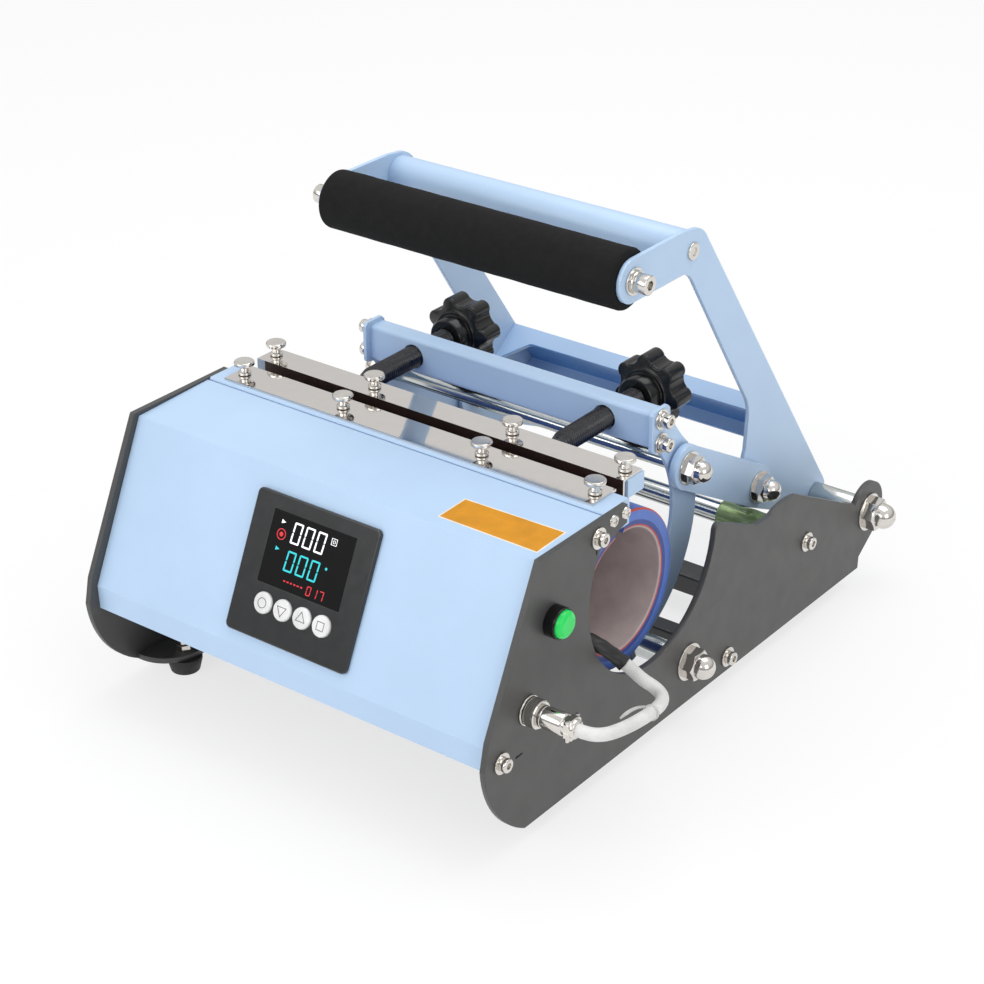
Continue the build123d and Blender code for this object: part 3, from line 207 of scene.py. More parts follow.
def finish_table():
    """Every finish on the machine, by a plain name."""
    blue = (0.45, 0.61, 0.82)
    table = {
        "blue_paint": powder_coat("blue_paint", blue, 0.40),
        # the cross channel's forward-looking inner faces get a painted shade of deeper blue
        "channel_paint_with_painted_shade": powder_coat("channel_paint_with_painted_shade", blue, 0.40, inside=(0.15, 0.36, 0.76)),
        "dark_paint": powder_coat("dark_paint", (0.050, 0.050, 0.049), 0.46, grain=1300),
        "black_paint": powder_coat("black_paint", (0.02, 0.02, 0.021), 0.38, grain=1100),
        "bare_sheet": plated("bare_sheet", (0.55, 0.55, 0.54), 0.38, grain=0.15, stretch=(1, 1, 12)),
        "strip": plated("polished_strip", (0.72, 0.69, 0.66), 0.045, grain=0.004, patchy=0.02),
        "nickel": plated("nickel_plate", (0.72, 0.69, 0.65), 0.12, grain=0.03),
        "zinc_rod": plated("zinc_rod", (0.58, 0.61, 0.60), 0.16, grain=0.05, stretch=(0.1, 5, 5)),
        "foot_rubber": moulded("foot_rubber", (0.018, 0.018, 0.018), 0.6),
        "foam": moulded("foam", (0.0085, 0.0085, 0.0085), 0.88, grain=0.7, grain_scale=900,
                        Specular_IOR_Level=0.22),
        "silicone": moulded("blue_silicone", (0.085, 0.165, 0.50), 0.42, grain=0.2, grain_scale=700),
        # a darker copy of the blue silicone for the band's side faces: painted shade
        "silicone_painted_shade": moulded("blue_silicone_painted_shade", (0.03, 0.065, 0.27), 0.45, grain=0.2, grain_scale=700),
        "hem": moulded("mat_hem", (0.055, 0.03, 0.029), 0.55, grain=0.2, grain_scale=900),
        "red_edge": moulded("red_edge", (0.50, 0.06, 0.035), 0.5),
        "lining": moulded("mat_lining", (0.43, 0.355, 0.35), 0.62, grain=0.35, grain_scale=1100),
        "sleeve": moulded("green_tube", (0.42, 0.58, 0.26), 0.22, grain=0.1,
                          Transmission_Weight=0.55, IOR=1.45),
        "black_plastic": moulded("black_plastic", (0.022, 0.022, 0.022), 0.5),
        "gloss_black": moulded("gloss_black", (0.006, 0.006, 0.006), 0.2, grain=0.03,
                               Specular_IOR_Level=0.4),
        "bezel": moulded("controller_bezel", (0.021, 0.022, 0.023), 0.2, grain=0.03,
                         Coat_Weight=0.2, Coat_Roughness=0.12),
        "window": moulded("display_glass", (0.004, 0.004, 0.0045), 0.08, grain=0.01,
                          Specular_IOR_Level=0.3),
        "cap_white": moulded("button_white", (0.76, 0.76, 0.76), 0.4, grain=0.08),
        "print_dark": moulded("button_print", (0.05, 0.05, 0.055), 0.5),
        "green_lens": moulded("green_lens", (0.012, 0.52, 0.09), 0.24, grain=0.03, Subsurface_Weight=0.2,
                              Emission_Color=(0.0, 0.75, 0.12, 1.0), Emission_Strength=0.22),
        "black_steel": plated("black_steel", (0.07, 0.07, 0.075), 0.26),
        "sheath": moulded("woven_sheath", (0.70, 0.70, 0.685), 0.66, grain=0.3, grain_scale=1600,
                          Sheen_Weight=0.2),
        "tie": moulded("clear_tie", (0.72, 0.72, 0.70), 0.3, grain=0.05, Transmission_Weight=0.3, IOR=1.5),
        "shrink": moulded("shrink_sleeve", (0.012, 0.012, 0.013), 0.42, grain=0.15, grain_scale=800),
        "label": moulded("plain_label", (0.62, 0.26, 0.008), 0.5, grain=0.06, Specular_IOR_Level=0.3),
        "label_edge": moulded("label_edge", (0.82, 0.76, 0.62), 0.5, grain=0.06),
        "slit": moulded("slit_shadow", (0.004, 0.004, 0.004), 0.9),
        "lit_white": glowing("lit_white", (0.85, 0.86, 0.88), 0.6),
        "lit_teal": glowing("lit_teal", (0.02, 0.50, 0.54), 0.45),
        "lit_red": glowing("lit_red", (0.55, 0.02, 0.03), 0.45),
    }
    return {name: surface.material for name, surface in table.items()}


finish = finish_table()

NODE_FINISH = {
    # the cross channel's paint carries a painted shade on its inner faces
    "channel_paint_with_painted_shade": ["handle_cross_channel"],
    "blue_paint": ["front_casing", "front_channel_bar", "handle_arm_", "handle_cross_tube", "link_right",
                   "link_left", "curved_arm_", "pressure_beam", "rear_clamp_bar"],
    "dark_paint": ["side_plate_", "bottom_cover"],
    "black_paint": ["base_cross_bars"],
    "bare_sheet": ["heat_shield"],
    "strip": ["front_clamp_strip", "rear_clamp_strip"],
    "nickel": ["foot_screws", "crosshead_screws", "plate_screws", "pivot_cap_nuts", "beam_screws",
               "handle_screws", "link_bolts", "panel_socket", "mat_plug", "front_thumbscrew_",
               "rear_thumbscrew_"],
    "zinc_rod": ["cross_rods", "arm_rod", "grip_rod", "pivot_spacers"],
    "foot_rubber": ["rubber_feet"],
    "black_plastic": ["controller_case", "terminal_block", "mains_inlet", "heater_relay"],
    "bezel": ["controller_front"],
    "gloss_black": ["power_switch_body", "star_knob_screw_"],
    "window": ["display_window"],
    "cap_white": ["control_button_"],
    "green_lens": ["power_button"],
    "silicone": ["heating_mat"],
    "foam": ["foam_grip"],
    "sleeve": ["bumper_sleeves"],
    "sheath": ["mat_lead"],
    "shrink": ["mat_lead_boot"],
}
WELD_WITHIN = 0.002 * MM
FLAT_WITHIN = math.radians(0.8)
EDGE_FROM = math.radians(20)
BEVEL = {"default": 0.5 * MM, "side_plate_": 0.7 * MM, "front_casing": 0.35 * MM, "pressure_beam": 0.35 * MM,
         "front_channel_bar": 0.6 * MM, "_clamp_strip": 0.25 * MM, "display_window": 0.15 * MM,
         "handle_arm_": 0.7 * MM, "curved_arm_": 0.7 * MM, "screws": 0.25 * MM, "thumbscrew": 0.25 * MM,
         "heat_shield": 0.2 * MM, "bottom_cover": 0.2 * MM}


def finish_of(name):
    """The finish whose list holds the longest start of the node's name."""
    starts = [start for group in NODE_FINISH.values() for start in group if name.startswith(start)]
    best = max(starts, key=len)
    return next(key for key, group in NODE_FINISH.items() if best in group)


def soften(obj, width):
    """Small rounded edges that catch the light, with even shading on the flats."""
    folded = obj.name == "front_casing"       # its long faces shade evenly with weighted normals
    weld = obj.modifiers.new("weld", "WELD")
    weld.merge_threshold = WELD_WITHIN
    flats = obj.modifiers.new("flats", "DECIMATE")
    flats.decimate_type = "DISSOLVE"
    flats.angle_limit = FLAT_WITHIN
    bevel = obj.modifiers.new("edges", "BEVEL")
    bevel.width = width
    bevel.segments = 2
    bevel.limit_method = "ANGLE"
    bevel.angle_limit = EDGE_FROM
    bevel.use_clamp_overlap = True
    bevel.harden_normals = not folded
    if folded:
        normals = obj.modifiers.new("normals", "WEIGHTED_NORMAL")
        normals.keep_sharp = True


def dress_nodes():
    for name, obj in nodes.items():
        obj.data.materials.clear()
        obj.data.materials.append(finish[finish_of(name)])
        width = next((size for part, size in BEVEL.items() if part in name), BEVEL["default"])
        soften(obj, width)


dress_nodes()


# ------------------------------------------------------------------ mesh building
def new_piece(name, verts, faces, materials, body, slot, marks=None, replaces=(), smooth=40):
    """A mesh piece that rides on a body; marks gives each face's place in materials."""
    mesh = bpy.data.meshes.new(name)
    mesh.from_pydata([tuple(v) for v in verts], [], faces)
    for material in materials:
        mesh.materials.append(finish[material])
    if marks:
        mesh.polygons.foreach_set("material_index", marks)
    mesh.validate()
    obj = bpy.data.objects.new(name, mesh)
    bpy.context.scene.collection.objects.link(obj)
    mesh.shade_smooth()
    mesh.set_sharp_from_angle(angle=math.radians(smooth))
    mesh.update()
    if body:
        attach(obj, body)
    if replaces:
        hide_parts(*replaces)
    return obj


def loft(rings, closed_path=False):
    """Faces between equal rings of points; an open path has its first and last ring capped."""
    verts = [point for ring in rings for point in ring]
    count = len(rings[0])
    faces = []
    for i in range(len(rings) if closed_path else len(rings) - 1):
        here, ahead = i * count, ((i + 1) % len(rings)) * count
        for j in range(count):
            k = (j + 1) % count
            faces.append((here + j, here + k, ahead + k, ahead + j))
    if not closed_path:
        faces.append(tuple(reversed(range(count))))
        faces.append(tuple(range((len(rings) - 1) * count, len(rings) * count)))
    return verts, faces


def lathe(profile, place, segments=64, wobble=None):
    """A turned shape from (radius, height) pairs; wobble(angle, radius, height) adds to the radius."""
    rings = []
    for radius, height in profile:
        ring = []
        for j in range(segments):
            angle = 2 * math.pi * j / segments
            r = radius + (wobble(angle, radius, height) if wobble else 0.0)
            ring.append(place @ Vector((r * math.cos(angle), r * math.sin(angle), height)))
        rings.append(ring)
    return loft(rings)


def merge(*parts):
    """Several (verts, faces) as one."""
    verts, faces = [], []
    for some_verts, some_faces in parts:
        start = len(verts)
        verts += list(some_verts)
        faces += [tuple(start + i for i in face) for face in some_faces]
    return verts, faces


def basis(x, y, z, origin):
    """The matrix with these three axes and this origin as its columns."""
    return Matrix((*zip(x, y, z, origin), (0, 0, 0, 1)))


def axis_place(origin, direction):
    """A frame at origin whose local Z runs along a level direction."""
    z = Vector(direction).normalized()
    x = Vector((0, 0, 1)).cross(z)
    x.normalize()
    return basis(x, z.cross(x), z, origin)


# ------------------------------------------------------------------ controller face
panel_normal = -Vector(joints["control_button_1_press"]["axis"])
panel_up = Vector((0, panel_normal.z, -panel_normal.y))
WINDOW = (66.0 * MM, 46.5 * MM)


def panel_place(centre, lift):
    """A frame on the sloping panel: local X across, local Y up the panel, local Z out of it."""
    return basis((1, 0, 0), panel_up, panel_normal, centre + panel_normal * lift)


def plate_shape(outline, place, thickness):
    """A thin plate with the given (x, y) outline, raised from the place's plane."""
    rings = [[place @ Vector((x, y, z)) for x, y in outline] for z in (0.0, thickness)]
    return loft(rings)


def frame_shape(outer, inner, place, thickness):
    """A flat band between two outlines of as many points."""
    rings = []
    for outline, z in ((outer, 0.0), (outer, thickness), (inner, thickness), (inner, 0.0)):
        rings.append([place @ Vector((x, y, z)) for x, y in outline])
    return loft(rings, closed_path=True)


def ring_outline(radius, count=40, centre=(0.0, 0.0), turn=0.0):
    """Points round a circle, the first of them at an angle of turn."""
    angles = [turn + 2 * math.pi * k / count for k in range(count)]
    return [(centre[0] + radius * math.cos(angle), centre[1] + radius * math.sin(angle)) for angle in angles]


SEGMENTS = {"0": "abcdef", "1": "bc", "7": "abc"}


def digit(symbol, corner, size, stroke):
    """The lit bars of one seven-segment digit, its lower left corner and (width, height) given."""
    width, height = size
    gap, cut = 0.22 * stroke, 0.3 * stroke
    lean = 0.07
    half = height / 2
    bars = {
        "a": (gap, height - stroke, width - gap, height),
        "d": (gap, 0.0, width - gap, stroke),
        "f": (0.0, half + gap, stroke, height - gap),
        "b": (width - stroke, half + gap, width, height - gap),
        "e": (0.0, gap, stroke, half - gap),
        "c": (width - stroke, gap, width, half - gap),
    }
    shapes = []
    for name in SEGMENTS[symbol]:
        x0, y0, x1, y1 = bars[name]
        outline = [(x0 + cut, y0), (x1 - cut, y0), (x1, y0 + cut), (x1, y1 - cut),
                   (x1 - cut, y1), (x0 + cut, y1), (x0, y1 - cut), (x0, y0 + cut)]
        shapes.append([(corner[0] + x + lean * y, corner[1] + y) for x, y in outline])
    return shapes


def display_lights():
    """Plain digits and small marks on the smoked window, as lit segments."""
    on_glass, thin = 0.62 * MM, 0.12 * MM
    place = panel_place(middle("display_window"), on_glass)
    left, top = -WINDOW[0] / 2, WINDOW[1] / 2

    def spot(across, down):
        """A point by its shares of the window's width and height."""
        return (left + across * WINDOW[0], top - down * WINDOW[1])

    def lit(name, colour, shapes):
        new_piece(f"display_{colour}_{name}", *merge(*shapes), [colour], "base", "window")

    def disc(radius, count, centre):
        return plate_shape(ring_outline(radius, count, centre), place, thin)

    def hoop(outer, inner, count, centre):
        outlines = [ring_outline(radius, count, centre) for radius in (outer, inner)]
        return frame_shape(*outlines, place, thin)

    # colour, text, lower left corner, size and pitch of the digits, width of their bars
    rows = [("lit_white", "000", (0.262, 0.372), (7.0 * MM, 13.6 * MM), 9.6 * MM, 1.1 * MM),
            ("lit_teal", "000", (0.262, 0.755), (7.0 * MM, 13.2 * MM), 9.6 * MM, 1.1 * MM),
            ("lit_red", "017", (0.585, 0.955), (3.5 * MM, 6.0 * MM), 5.1 * MM, 0.65 * MM)]
    for colour, text, corner, size, pitch, stroke in rows:
        x, y = spot(*corner)
        digits = [digit(symbol, (x + k * pitch, y), size, stroke) for k, symbol in enumerate(text)]
        lit("digits", colour, [plate_shape(bar, place, thin) for bars in digits for bar in bars])

    heater = spot(0.145, 0.30)
    unit = spot(0.765, 0.15)
    half, inside = 2.2 * MM, 0.84
    square = [(-half, -half), (half, -half), (half, half), (-half, half)]
    outer = [(unit[0] + x, unit[1] + y) for x, y in square]
    inner = [(unit[0] + inside * x, unit[1] + inside * y) for x, y in square]
    marks = {
        "lit_red": [hoop(3.6 * MM, 3.0 * MM, 40, heater), disc(1.5 * MM, 24, heater)],
        "lit_white": [frame_shape(outer, inner, place, thin), hoop(1.1 * MM, 0.75 * MM, 24, unit)],
        "lit_teal": [disc(0.9 * MM, 20, spot(0.75, 0.525))],
    }
    for colour, down in (("lit_white", 0.13), ("lit_teal", 0.50)):
        x, y = spot(0.14, down)
        arrow = [(x - 1.5 * MM, y - 1.3 * MM), (x + 1.7 * MM, y), (x - 1.5 * MM, y + 1.3 * MM)]
        marks[colour].append(plate_shape(arrow, place, thin))
    for k in range(6):
        x, y = spot(0.30 + 0.042 * k, 0.89)
        bar = [(x, y), (x + 1.7 * MM, y), (x + 1.7 * MM, y + 0.9 * MM), (x, y + 0.9 * MM)]
        marks["lit_red"].append(plate_shape(bar, place, thin))
    for colour, shapes in marks.items():
        lit("marks", colour, shapes)


def button_symbols():
    """A ring, two triangles and a square, drawn in thin raised lines on the four caps."""
    reach, line = 4.5 * MM, 0.42 * MM
    sunk, raised = 0.02 * MM, 0.08 * MM
    # points, angle of the first one and share of the reach, for each symbol
    symbols = [(32, 0.0, 0.75), (3, -math.pi / 2, 1.0), (3, math.pi / 2, 1.0), (4, math.pi / 4, 0.9)]
    for k, (count, turn, share) in enumerate(symbols, start=1):
        node = f"control_button_{k}"
        centre = middle(node)
        top = max((Vector(v.co) - centre).dot(panel_normal) for v in nodes[node].data.vertices)
        outer = reach * share
        inner = outer - line / math.cos(math.pi / count)
        outlines = [ring_outline(radius, count, turn=turn) for radius in (outer, inner)]
        verts, faces = frame_shape(*outlines, panel_place(centre, top - sunk), raised)
        new_piece(f"{node}_symbol", verts, faces, ["print_dark"], node, "button_caps")


# ------------------------------------------------------------------ star knobs and pressure screws
THREAD_PITCH = 2.0 * MM
THREAD_DEPTH = 1.0 * MM
LOBES = 7
KNOB_THICK = 18.5 * MM
KNOB_R = 26.0 * MM
LOBE_R = 5.5 * MM
SCALLOP_AT = KNOB_R + 2.6 * MM
KNOB_TURN = {"right": 186.0, "left": 174.0}   # degrees, angle of a lobe seen from behind


def star_radius(angle):
    """The knob's seven-lobed outline: round lobes joined by hollow scallops."""
    half_step = math.pi / LOBES
    off = abs((angle + half_step) % (2 * half_step) - half_step)
    ring = KNOB_R - LOBE_R
    apart = math.sqrt(ring ** 2 + SCALLOP_AT ** 2 - 2 * ring * SCALLOP_AT * math.cos(half_step))
    lobe = LOBE_R ** 2 - (ring * math.sin(off)) ** 2
    away = half_step - off
    hollow = (apart - LOBE_R) ** 2 - (SCALLOP_AT * math.sin(away)) ** 2
    by_lobe = ring * math.cos(off) + math.sqrt(lobe) if lobe > 0 else KNOB_R
    by_hollow = SCALLOP_AT * math.cos(away) - math.sqrt(hollow) if hollow > 0 else KNOB_R
    return min(by_lobe, by_hollow)


def knob_and_screw(word):
    """The moulded knob, its threaded screw and the screw's bright tip."""
    node = f"star_knob_screw_{word}"
    body = f"pressure_screw_{word}"
    pivot = Vector(joints[f"{word}_knob_turn"]["pos_m"])
    low, high = corners(node)
    place = axis_place((pivot.x, 0, pivot.z), (0, 1, 0))
    turn = math.radians(KNOB_TURN[word])
    hub_r, hub_len = 14.0 * MM, 12.0 * MM
    front = high.y - KNOB_THICK
    hub_end = front - hub_len
    screw_r = 7.8 * MM

    def lobed(angle, radius, height):
        """Points of the star are given by their inset from its outline, as a negative radius."""
        return star_radius(angle - turn) if radius < 0 else 0.0

    star = [(0.0, 18.5), (9.0, 18.5), (9.4, 18.1), (10.2, 17.9), (-1.3, 18.2), (-0.55, 17.9), (-0.12, 17.2),
            (-0.02, 16.4), (-0.02, 2.1), (-0.12, 1.3), (-0.55, 0.6), (-1.3, 0.3), (17.3, 0.0), (16.9, -0.3),
            (16.7, -1.2), (16.2, -1.7), (14.6, -1.8)]
    profile = [(r * MM, front + step * MM) for r, step in star]
    profile += [(hub_r, front - 2.4 * MM), (hub_r - 0.2 * MM, hub_end + 1.0 * MM),
                (hub_r - 1.0 * MM, hub_end), (screw_r + 1.2 * MM, hub_end),
                (screw_r + 0.9 * MM, hub_end + 0.8 * MM), (screw_r - 0.1 * MM, hub_end + 0.8 * MM)]
    verts, faces = lathe(profile, place, 30 * LOBES, lobed)
    knob = new_piece(f"star_knob_{word}", verts, faces, ["gloss_black"], body, "knob", smooth=38)

    tip_from = low.y
    cone_from, cone_to = tip_from + 11.0 * MM, tip_from + 20.0 * MM
    cone_drop = 2.2 * MM
    threaded_to = hub_end + 2.0 * MM
    segments, steps_per_turn = 36, 6
    rings = []
    count = int((threaded_to - cone_from) / THREAD_PITCH * steps_per_turn)
    for i in range(count + 1):
        y = cone_from + (threaded_to - cone_from) * i / count
        ring = []
        for j in range(segments):
            angle = 2 * math.pi * j / segments
            phase = (y / THREAD_PITCH - angle / (2 * math.pi)) % 1.0
            ridge = (abs(2 * phase - 1) - 0.5) * THREAD_DEPTH
            core = screw_r - THREAD_DEPTH / 2
            if y < cone_to:
                core -= cone_drop * (cone_to - y) / (cone_to - cone_from)
                ridge *= (y - cone_from) / (cone_to - cone_from)
            r = core + ridge
            ring.append(place @ Vector((r * math.cos(angle), r * math.sin(angle), y)))
        rings.append(ring)
    screw = new_piece(f"pressure_screw_thread_{word}", *loft(rings), ["black_steel"], body, "knob", smooth=70)
    tip_r, into_cone = 2.2 * MM, cone_from + 0.02 * MM
    tip = [(0.0, tip_from), (2.1 * MM, tip_from), (tip_r, tip_from + 0.4 * MM), (tip_r, cone_from - 2.0 * MM),
           (3.6 * MM, cone_from - 1.6 * MM), (5.0 * MM, into_cone), (0.0, into_cone)]
    new_piece(f"pressure_screw_tip_{word}", *lathe(tip, place, 32), ["nickel"], body, "nickel")
    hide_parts(node)
    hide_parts(node)


# ------------------------------------------------------------------ heating mat
def mat_sizes():
    low, high = corners("heating_mat")
    outer = (high.y - low.y) / 2
    return Vector((0, (low.y + high.y) / 2, low.z + outer)), outer, (high.x - low.x) / 2


mat_centre, mat_outer, mat_half = mat_sizes()
MAT_THICK = 13.0 * MM         # band and lining together
HEM = 2.4 * MM                # thickness of the clamped edges
HEM_GAPS = (1.2, 0.6)         # degrees from the band's end to the front and the rear hem
MAT_SPLIT = 12.0              # degrees above the rear, where the clamp starts to draw the band
MAT_FINISHES = ["silicone", "red_edge", "lining", "silicone_painted_shade", "hem"]
# the band's side faces take the darker silicone copy, a painted shade
BAND, EDGE, LINING, SHADED_FLANK, FOLD = range(5)    # places in MAT_FINISHES


def mat_section():
    """The mat's closed section (x, radius) with the finish of the edge that follows each point."""
    half, r_out, r_in = mat_half, mat_outer, mat_outer - MAT_THICK
    right = [(half - 1.3 * MM, r_out, EDGE), (half - 0.5 * MM, r_out - 0.35 * MM, EDGE),
             (half, r_out - 1.1 * MM, BAND), (half, r_in + 5.6 * MM, SHADED_FLANK),
             (half - 0.2 * MM, r_in + 2.5 * MM, EDGE), (half - 0.4 * MM, r_in + 1.5 * MM, LINING),
             (half - 1.0 * MM, r_in + 0.2 * MM, LINING), (half - 1.6 * MM, r_in, LINING)]
    left_marks = [LINING, LINING, EDGE, SHADED_FLANK, BAND, EDGE, EDGE, BAND]
    return right + [(-x, r, mark) for (x, r, _), mark in zip(reversed(right), left_marks)]


def mat_arc(angle_from, angle_to, steps):
    """The mat's band swept round its axis between two angles (0 is to the rear, 90 is up)."""
    section = mat_section()
    rings = []
    for i in range(steps + 1):
        angle = math.radians(angle_from + (angle_to - angle_from) * i / steps)
        rings.append([Vector((x, mat_centre.y + r * math.cos(angle), mat_centre.z + r * math.sin(angle)))
                      for x, r, _ in section])
    caps = [BAND, BAND]
    return *loft(rings), [mark for _, _, mark in section] * steps + caps


def mat_hem(y_from, y_to, z_from, z_to):
    """A clamped edge of the mat, as a flat strip."""
    half = mat_half - 0.6 * MM
    outline = ((-half, y_from), (half, y_from), (half, y_to), (-half, y_to))
    levels = (z_from, z_from * 0.6 + z_to * 0.4, z_to)
    verts, faces = loft([[Vector((x, y, z)) for x, y in outline] for z in levels])
    return verts, faces, [FOLD] * len(faces)


def angle_where(y):
    """The angle round the mat's axis at which the middle of its band comes to y."""
    return math.degrees(math.acos((y - mat_centre.y) / (mat_outer - MAT_THICK / 2)))


def heating_mat():
    """Its front half stays on the base and its rear hem goes with the clamp; its rear half and top follow no
    body.
    """
    edge_top = corners("heating_mat")[1].z
    bar_low = corners("rear_clamp_bar")[0]
    front_hem = corners("front_channel_bar")[1].y
    rear_face = bar_low.y
    gap_front = front_hem + HEM
    front_end = angle_where(gap_front) + HEM_GAPS[0]
    angle_rear = angle_where(rear_face - HEM)
    root = mat_centre.z + mat_outer - MAT_THICK * 0.6

    parts = [mat_arc(front_end, 270.0, 56),
             mat_hem(front_hem + 0.1 * MM, gap_front, root, edge_top - 0.1 * MM)]
    verts, faces = merge(*[part[:2] for part in parts])
    marks = [mark for part in parts for mark in part[2]]
    front = new_piece("mat_front_half", verts, faces, MAT_FINISHES, "base", "silicone", marks)
    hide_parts("heating_mat")

    verts, faces, marks = mat_arc(-90.0, MAT_SPLIT, 46)
    rear = new_piece("mat_rear_half", verts, faces, MAT_FINISHES[:FOLD], None, "silicone", marks)
    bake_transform(rear)
    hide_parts("heating_mat")

    verts, faces, marks = mat_arc(MAT_SPLIT, angle_rear - HEM_GAPS[1], 28)
    top = new_piece("mat_rear_top", verts, faces, MAT_FINISHES[:FOLD], None, "silicone", marks)
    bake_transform(top)
    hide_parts("heating_mat")

    verts, faces, _ = mat_hem(rear_face - HEM, rear_face, root, bar_low.z - 0.6 * MM)
    hem = new_piece("mat_rear_hem", verts, faces, ["hem"], "rear_clamp", "silicone")
    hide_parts("heating_mat")


# ------------------------------------------------------------------ lead of the mat
LEAD_ROUTE = [(201.0, -131.8, 83.2), (209.0, -131.8, 83.2), (215.5, -125.0, 82.0), (217.0, -111.0, 78.8),
              (216.0, -92.0, 74.3), (213.5, -73.0, 70.0), (210.0, -57.5, 66.2), (204.5, -47.0, 64.8),
              (197.0, -43.6, 66.3), (188.0, -44.8, 69.3), (178.5, -42.5, 71.8), (170.0, -45.0, 78.0),
              (160.0, -56.0, 91.0), (150.0, -56.0, 91.0)]
LEAD_R = 4.2 * MM
LEAD_STEP = 0.55 * MM         # between the rings of its mesh
TIE_AT = (212.5, -74.0, 70.2)
TIE_TIP = (203.5, -91.5, 71.5)
BOOT_FROM = 0.80              # share of the lead's line where the shrink sleeve starts


def smooth_line(points):
    """Points read from the NURBS line that has the given points as its control points."""
    curve = bpy.data.curves.new("route", "CURVE")
    curve.dimensions = "3D"
    spline = curve.splines.new("NURBS")
    spline.points.add(len(points) - 1)
    for target, point in zip(spline.points, points):
        target.co = (*point, 1.0)
    spline.order_u = 3
    spline.use_endpoint_u = True
    curve.resolution_u = 24
    obj = bpy.data.objects.new("route", curve)
    bpy.context.scene.collection.objects.link(obj)
    mesh = bpy.data.meshes.new_from_object(obj)
    line = [v.co.copy() for v in mesh.vertices]
    bpy.data.objects.remove(obj)
    bpy.data.curves.remove(curve)
    bpy.data.meshes.remove(mesh)
    return line


def spaced(line, step):
    """Points along a line at even steps."""
    total = sum((b - a).length for a, b in zip(line, line[1:]))
    count = max(2, round(total / step))
    result, travelled, i = [line[0].copy()], 0.0, 0
    for k in range(1, count):
        goal = total * k / count
        while travelled + (line[i + 1] - line[i]).length < goal:
            travelled += (line[i + 1] - line[i]).length
            i += 1
        run = line[i + 1] - line[i]
        result.append(line[i] + run * ((goal - travelled) / run.length))
    result.append(line[-1].copy())
    return result


def along(line, section):
    """A tube along a line; section(i, count) gives that ring's (across, up) points."""
    rings = []
    tangent = (line[1] - line[0]).normalized()
    across = tangent.cross(Vector((0, 0, 1))).normalized()
    for i, point in enumerate(line):
        ahead = (line[min(i + 1, len(line) - 1)] - line[max(i - 1, 0)]).normalized()
        across = (across - ahead * across.dot(ahead)).normalized()
        up = ahead.cross(across)
        rings.append([point + across * a + up * b for a, b in section(i, len(line))])
    return rings


def mat_lead():
    """The mat's woven lead as a free cord, with its shrink sleeve, its plug and its cable tie."""
    line = spaced(smooth_line([at(*point) for point in LEAD_ROUTE]), LEAD_STEP)
    strands, lay, weave = 10, 9.0 * MM, 0.12 * MM

    def woven(i, count):
        points = []
        phase = 2 * math.pi * (i * LEAD_STEP) / lay * strands / 4
        for j in range(40):
            angle = 2 * math.pi * j / 40
            one, two = math.sin(strands * angle + phase), math.sin(strands * angle - phase)
            r = LEAD_R - weave + weave * max(one, two)
            points.append((r * math.cos(angle), r * math.sin(angle)))
        return points

    def shrunk(i, count):
        """Flared and creased where it starts, wide and flat where it meets the mat."""
        share = i / (count - 1)
        swell = max(0.0, (share - 0.35) / 0.65)
        flare = max(0.0, 1.0 - share / 0.12)
        wide = LEAD_R + (0.5 + 0.9 * flare + 2.4 * swell ** 1.3) * MM
        high = LEAD_R + (0.5 + 0.5 * flare - 0.6 * swell) * MM
        points = []
        for j in range(44):
            angle = 2 * math.pi * j / 44
            mouth = 0.34 * flare * math.sin(5 * angle + 2)
            folds = 0.24 * math.sin(3 * angle + 14 * share) * math.sin(9 * share)
            crease = MM * (mouth + folds)
            points.append(((wide + crease) * math.cos(angle), (high + crease) * math.sin(angle)))
        return points

    lead = new_piece("mat_lead_sheath", *loft(along(line, woven)), ["sheath"], "base", "lead_sheath",
                     replaces=["mat_lead"], smooth=80)
    boot_line = line[int(BOOT_FROM * len(line)):]
    boot = new_piece("lead_shrink_sleeve", *loft(along(boot_line, shrunk)), ["shrink"], "base", "shrink_tube",
                     replaces=["mat_lead_boot"], smooth=60)
    plug = plug_pieces()
    plug.append(lead_tie(line))


def lead_tie(line):
    """A clear cable tie round the lead, with its tail left standing off."""
    width, thick = 2.6 * MM, 0.9 * MM
    tail_half, tail_rise, taper_from = 0.3 * MM, 2.2 * MM, 0.75
    centre = min(range(len(line)), key=lambda i: (line[i] - at(*TIE_AT)).length)
    start = max(0, centre - round(0.5 * width / LEAD_STEP))
    band = line[start:start + round(width / LEAD_STEP) + 1]
    wrap = along(band, lambda i, count: ring_outline(LEAD_R + thick * (0 < i < count - 1), 32))
    tail = []
    root, tip = at(*TIE_AT) + Vector((-0.6 * LEAD_R, 0, 0.75 * LEAD_R)), at(*TIE_TIP)
    steps = 9
    for k in range(steps + 1):
        share = k / steps
        point = root.lerp(tip, share) + Vector((0, 0, tail_rise * math.sin(math.pi * share)))
        half = 0.5 * width * (1.0 if share < taper_from else 1.0 - 2.2 * (share - taper_from))
        tail.append([point + Vector((x * half, 0, z * tail_half))
                     for x, z in ((-1, -1), (1, -1), (1, 1), (-1, 1))])
    return new_piece("lead_tie", *merge(loft(wrap), loft(tail)), ["tie"], "base", "lead_sheath")


def in_mm(profile):
    """A profile's (radius, height) pairs, given in millimetres."""
    return [(r * MM, h * MM) for r, h in profile]


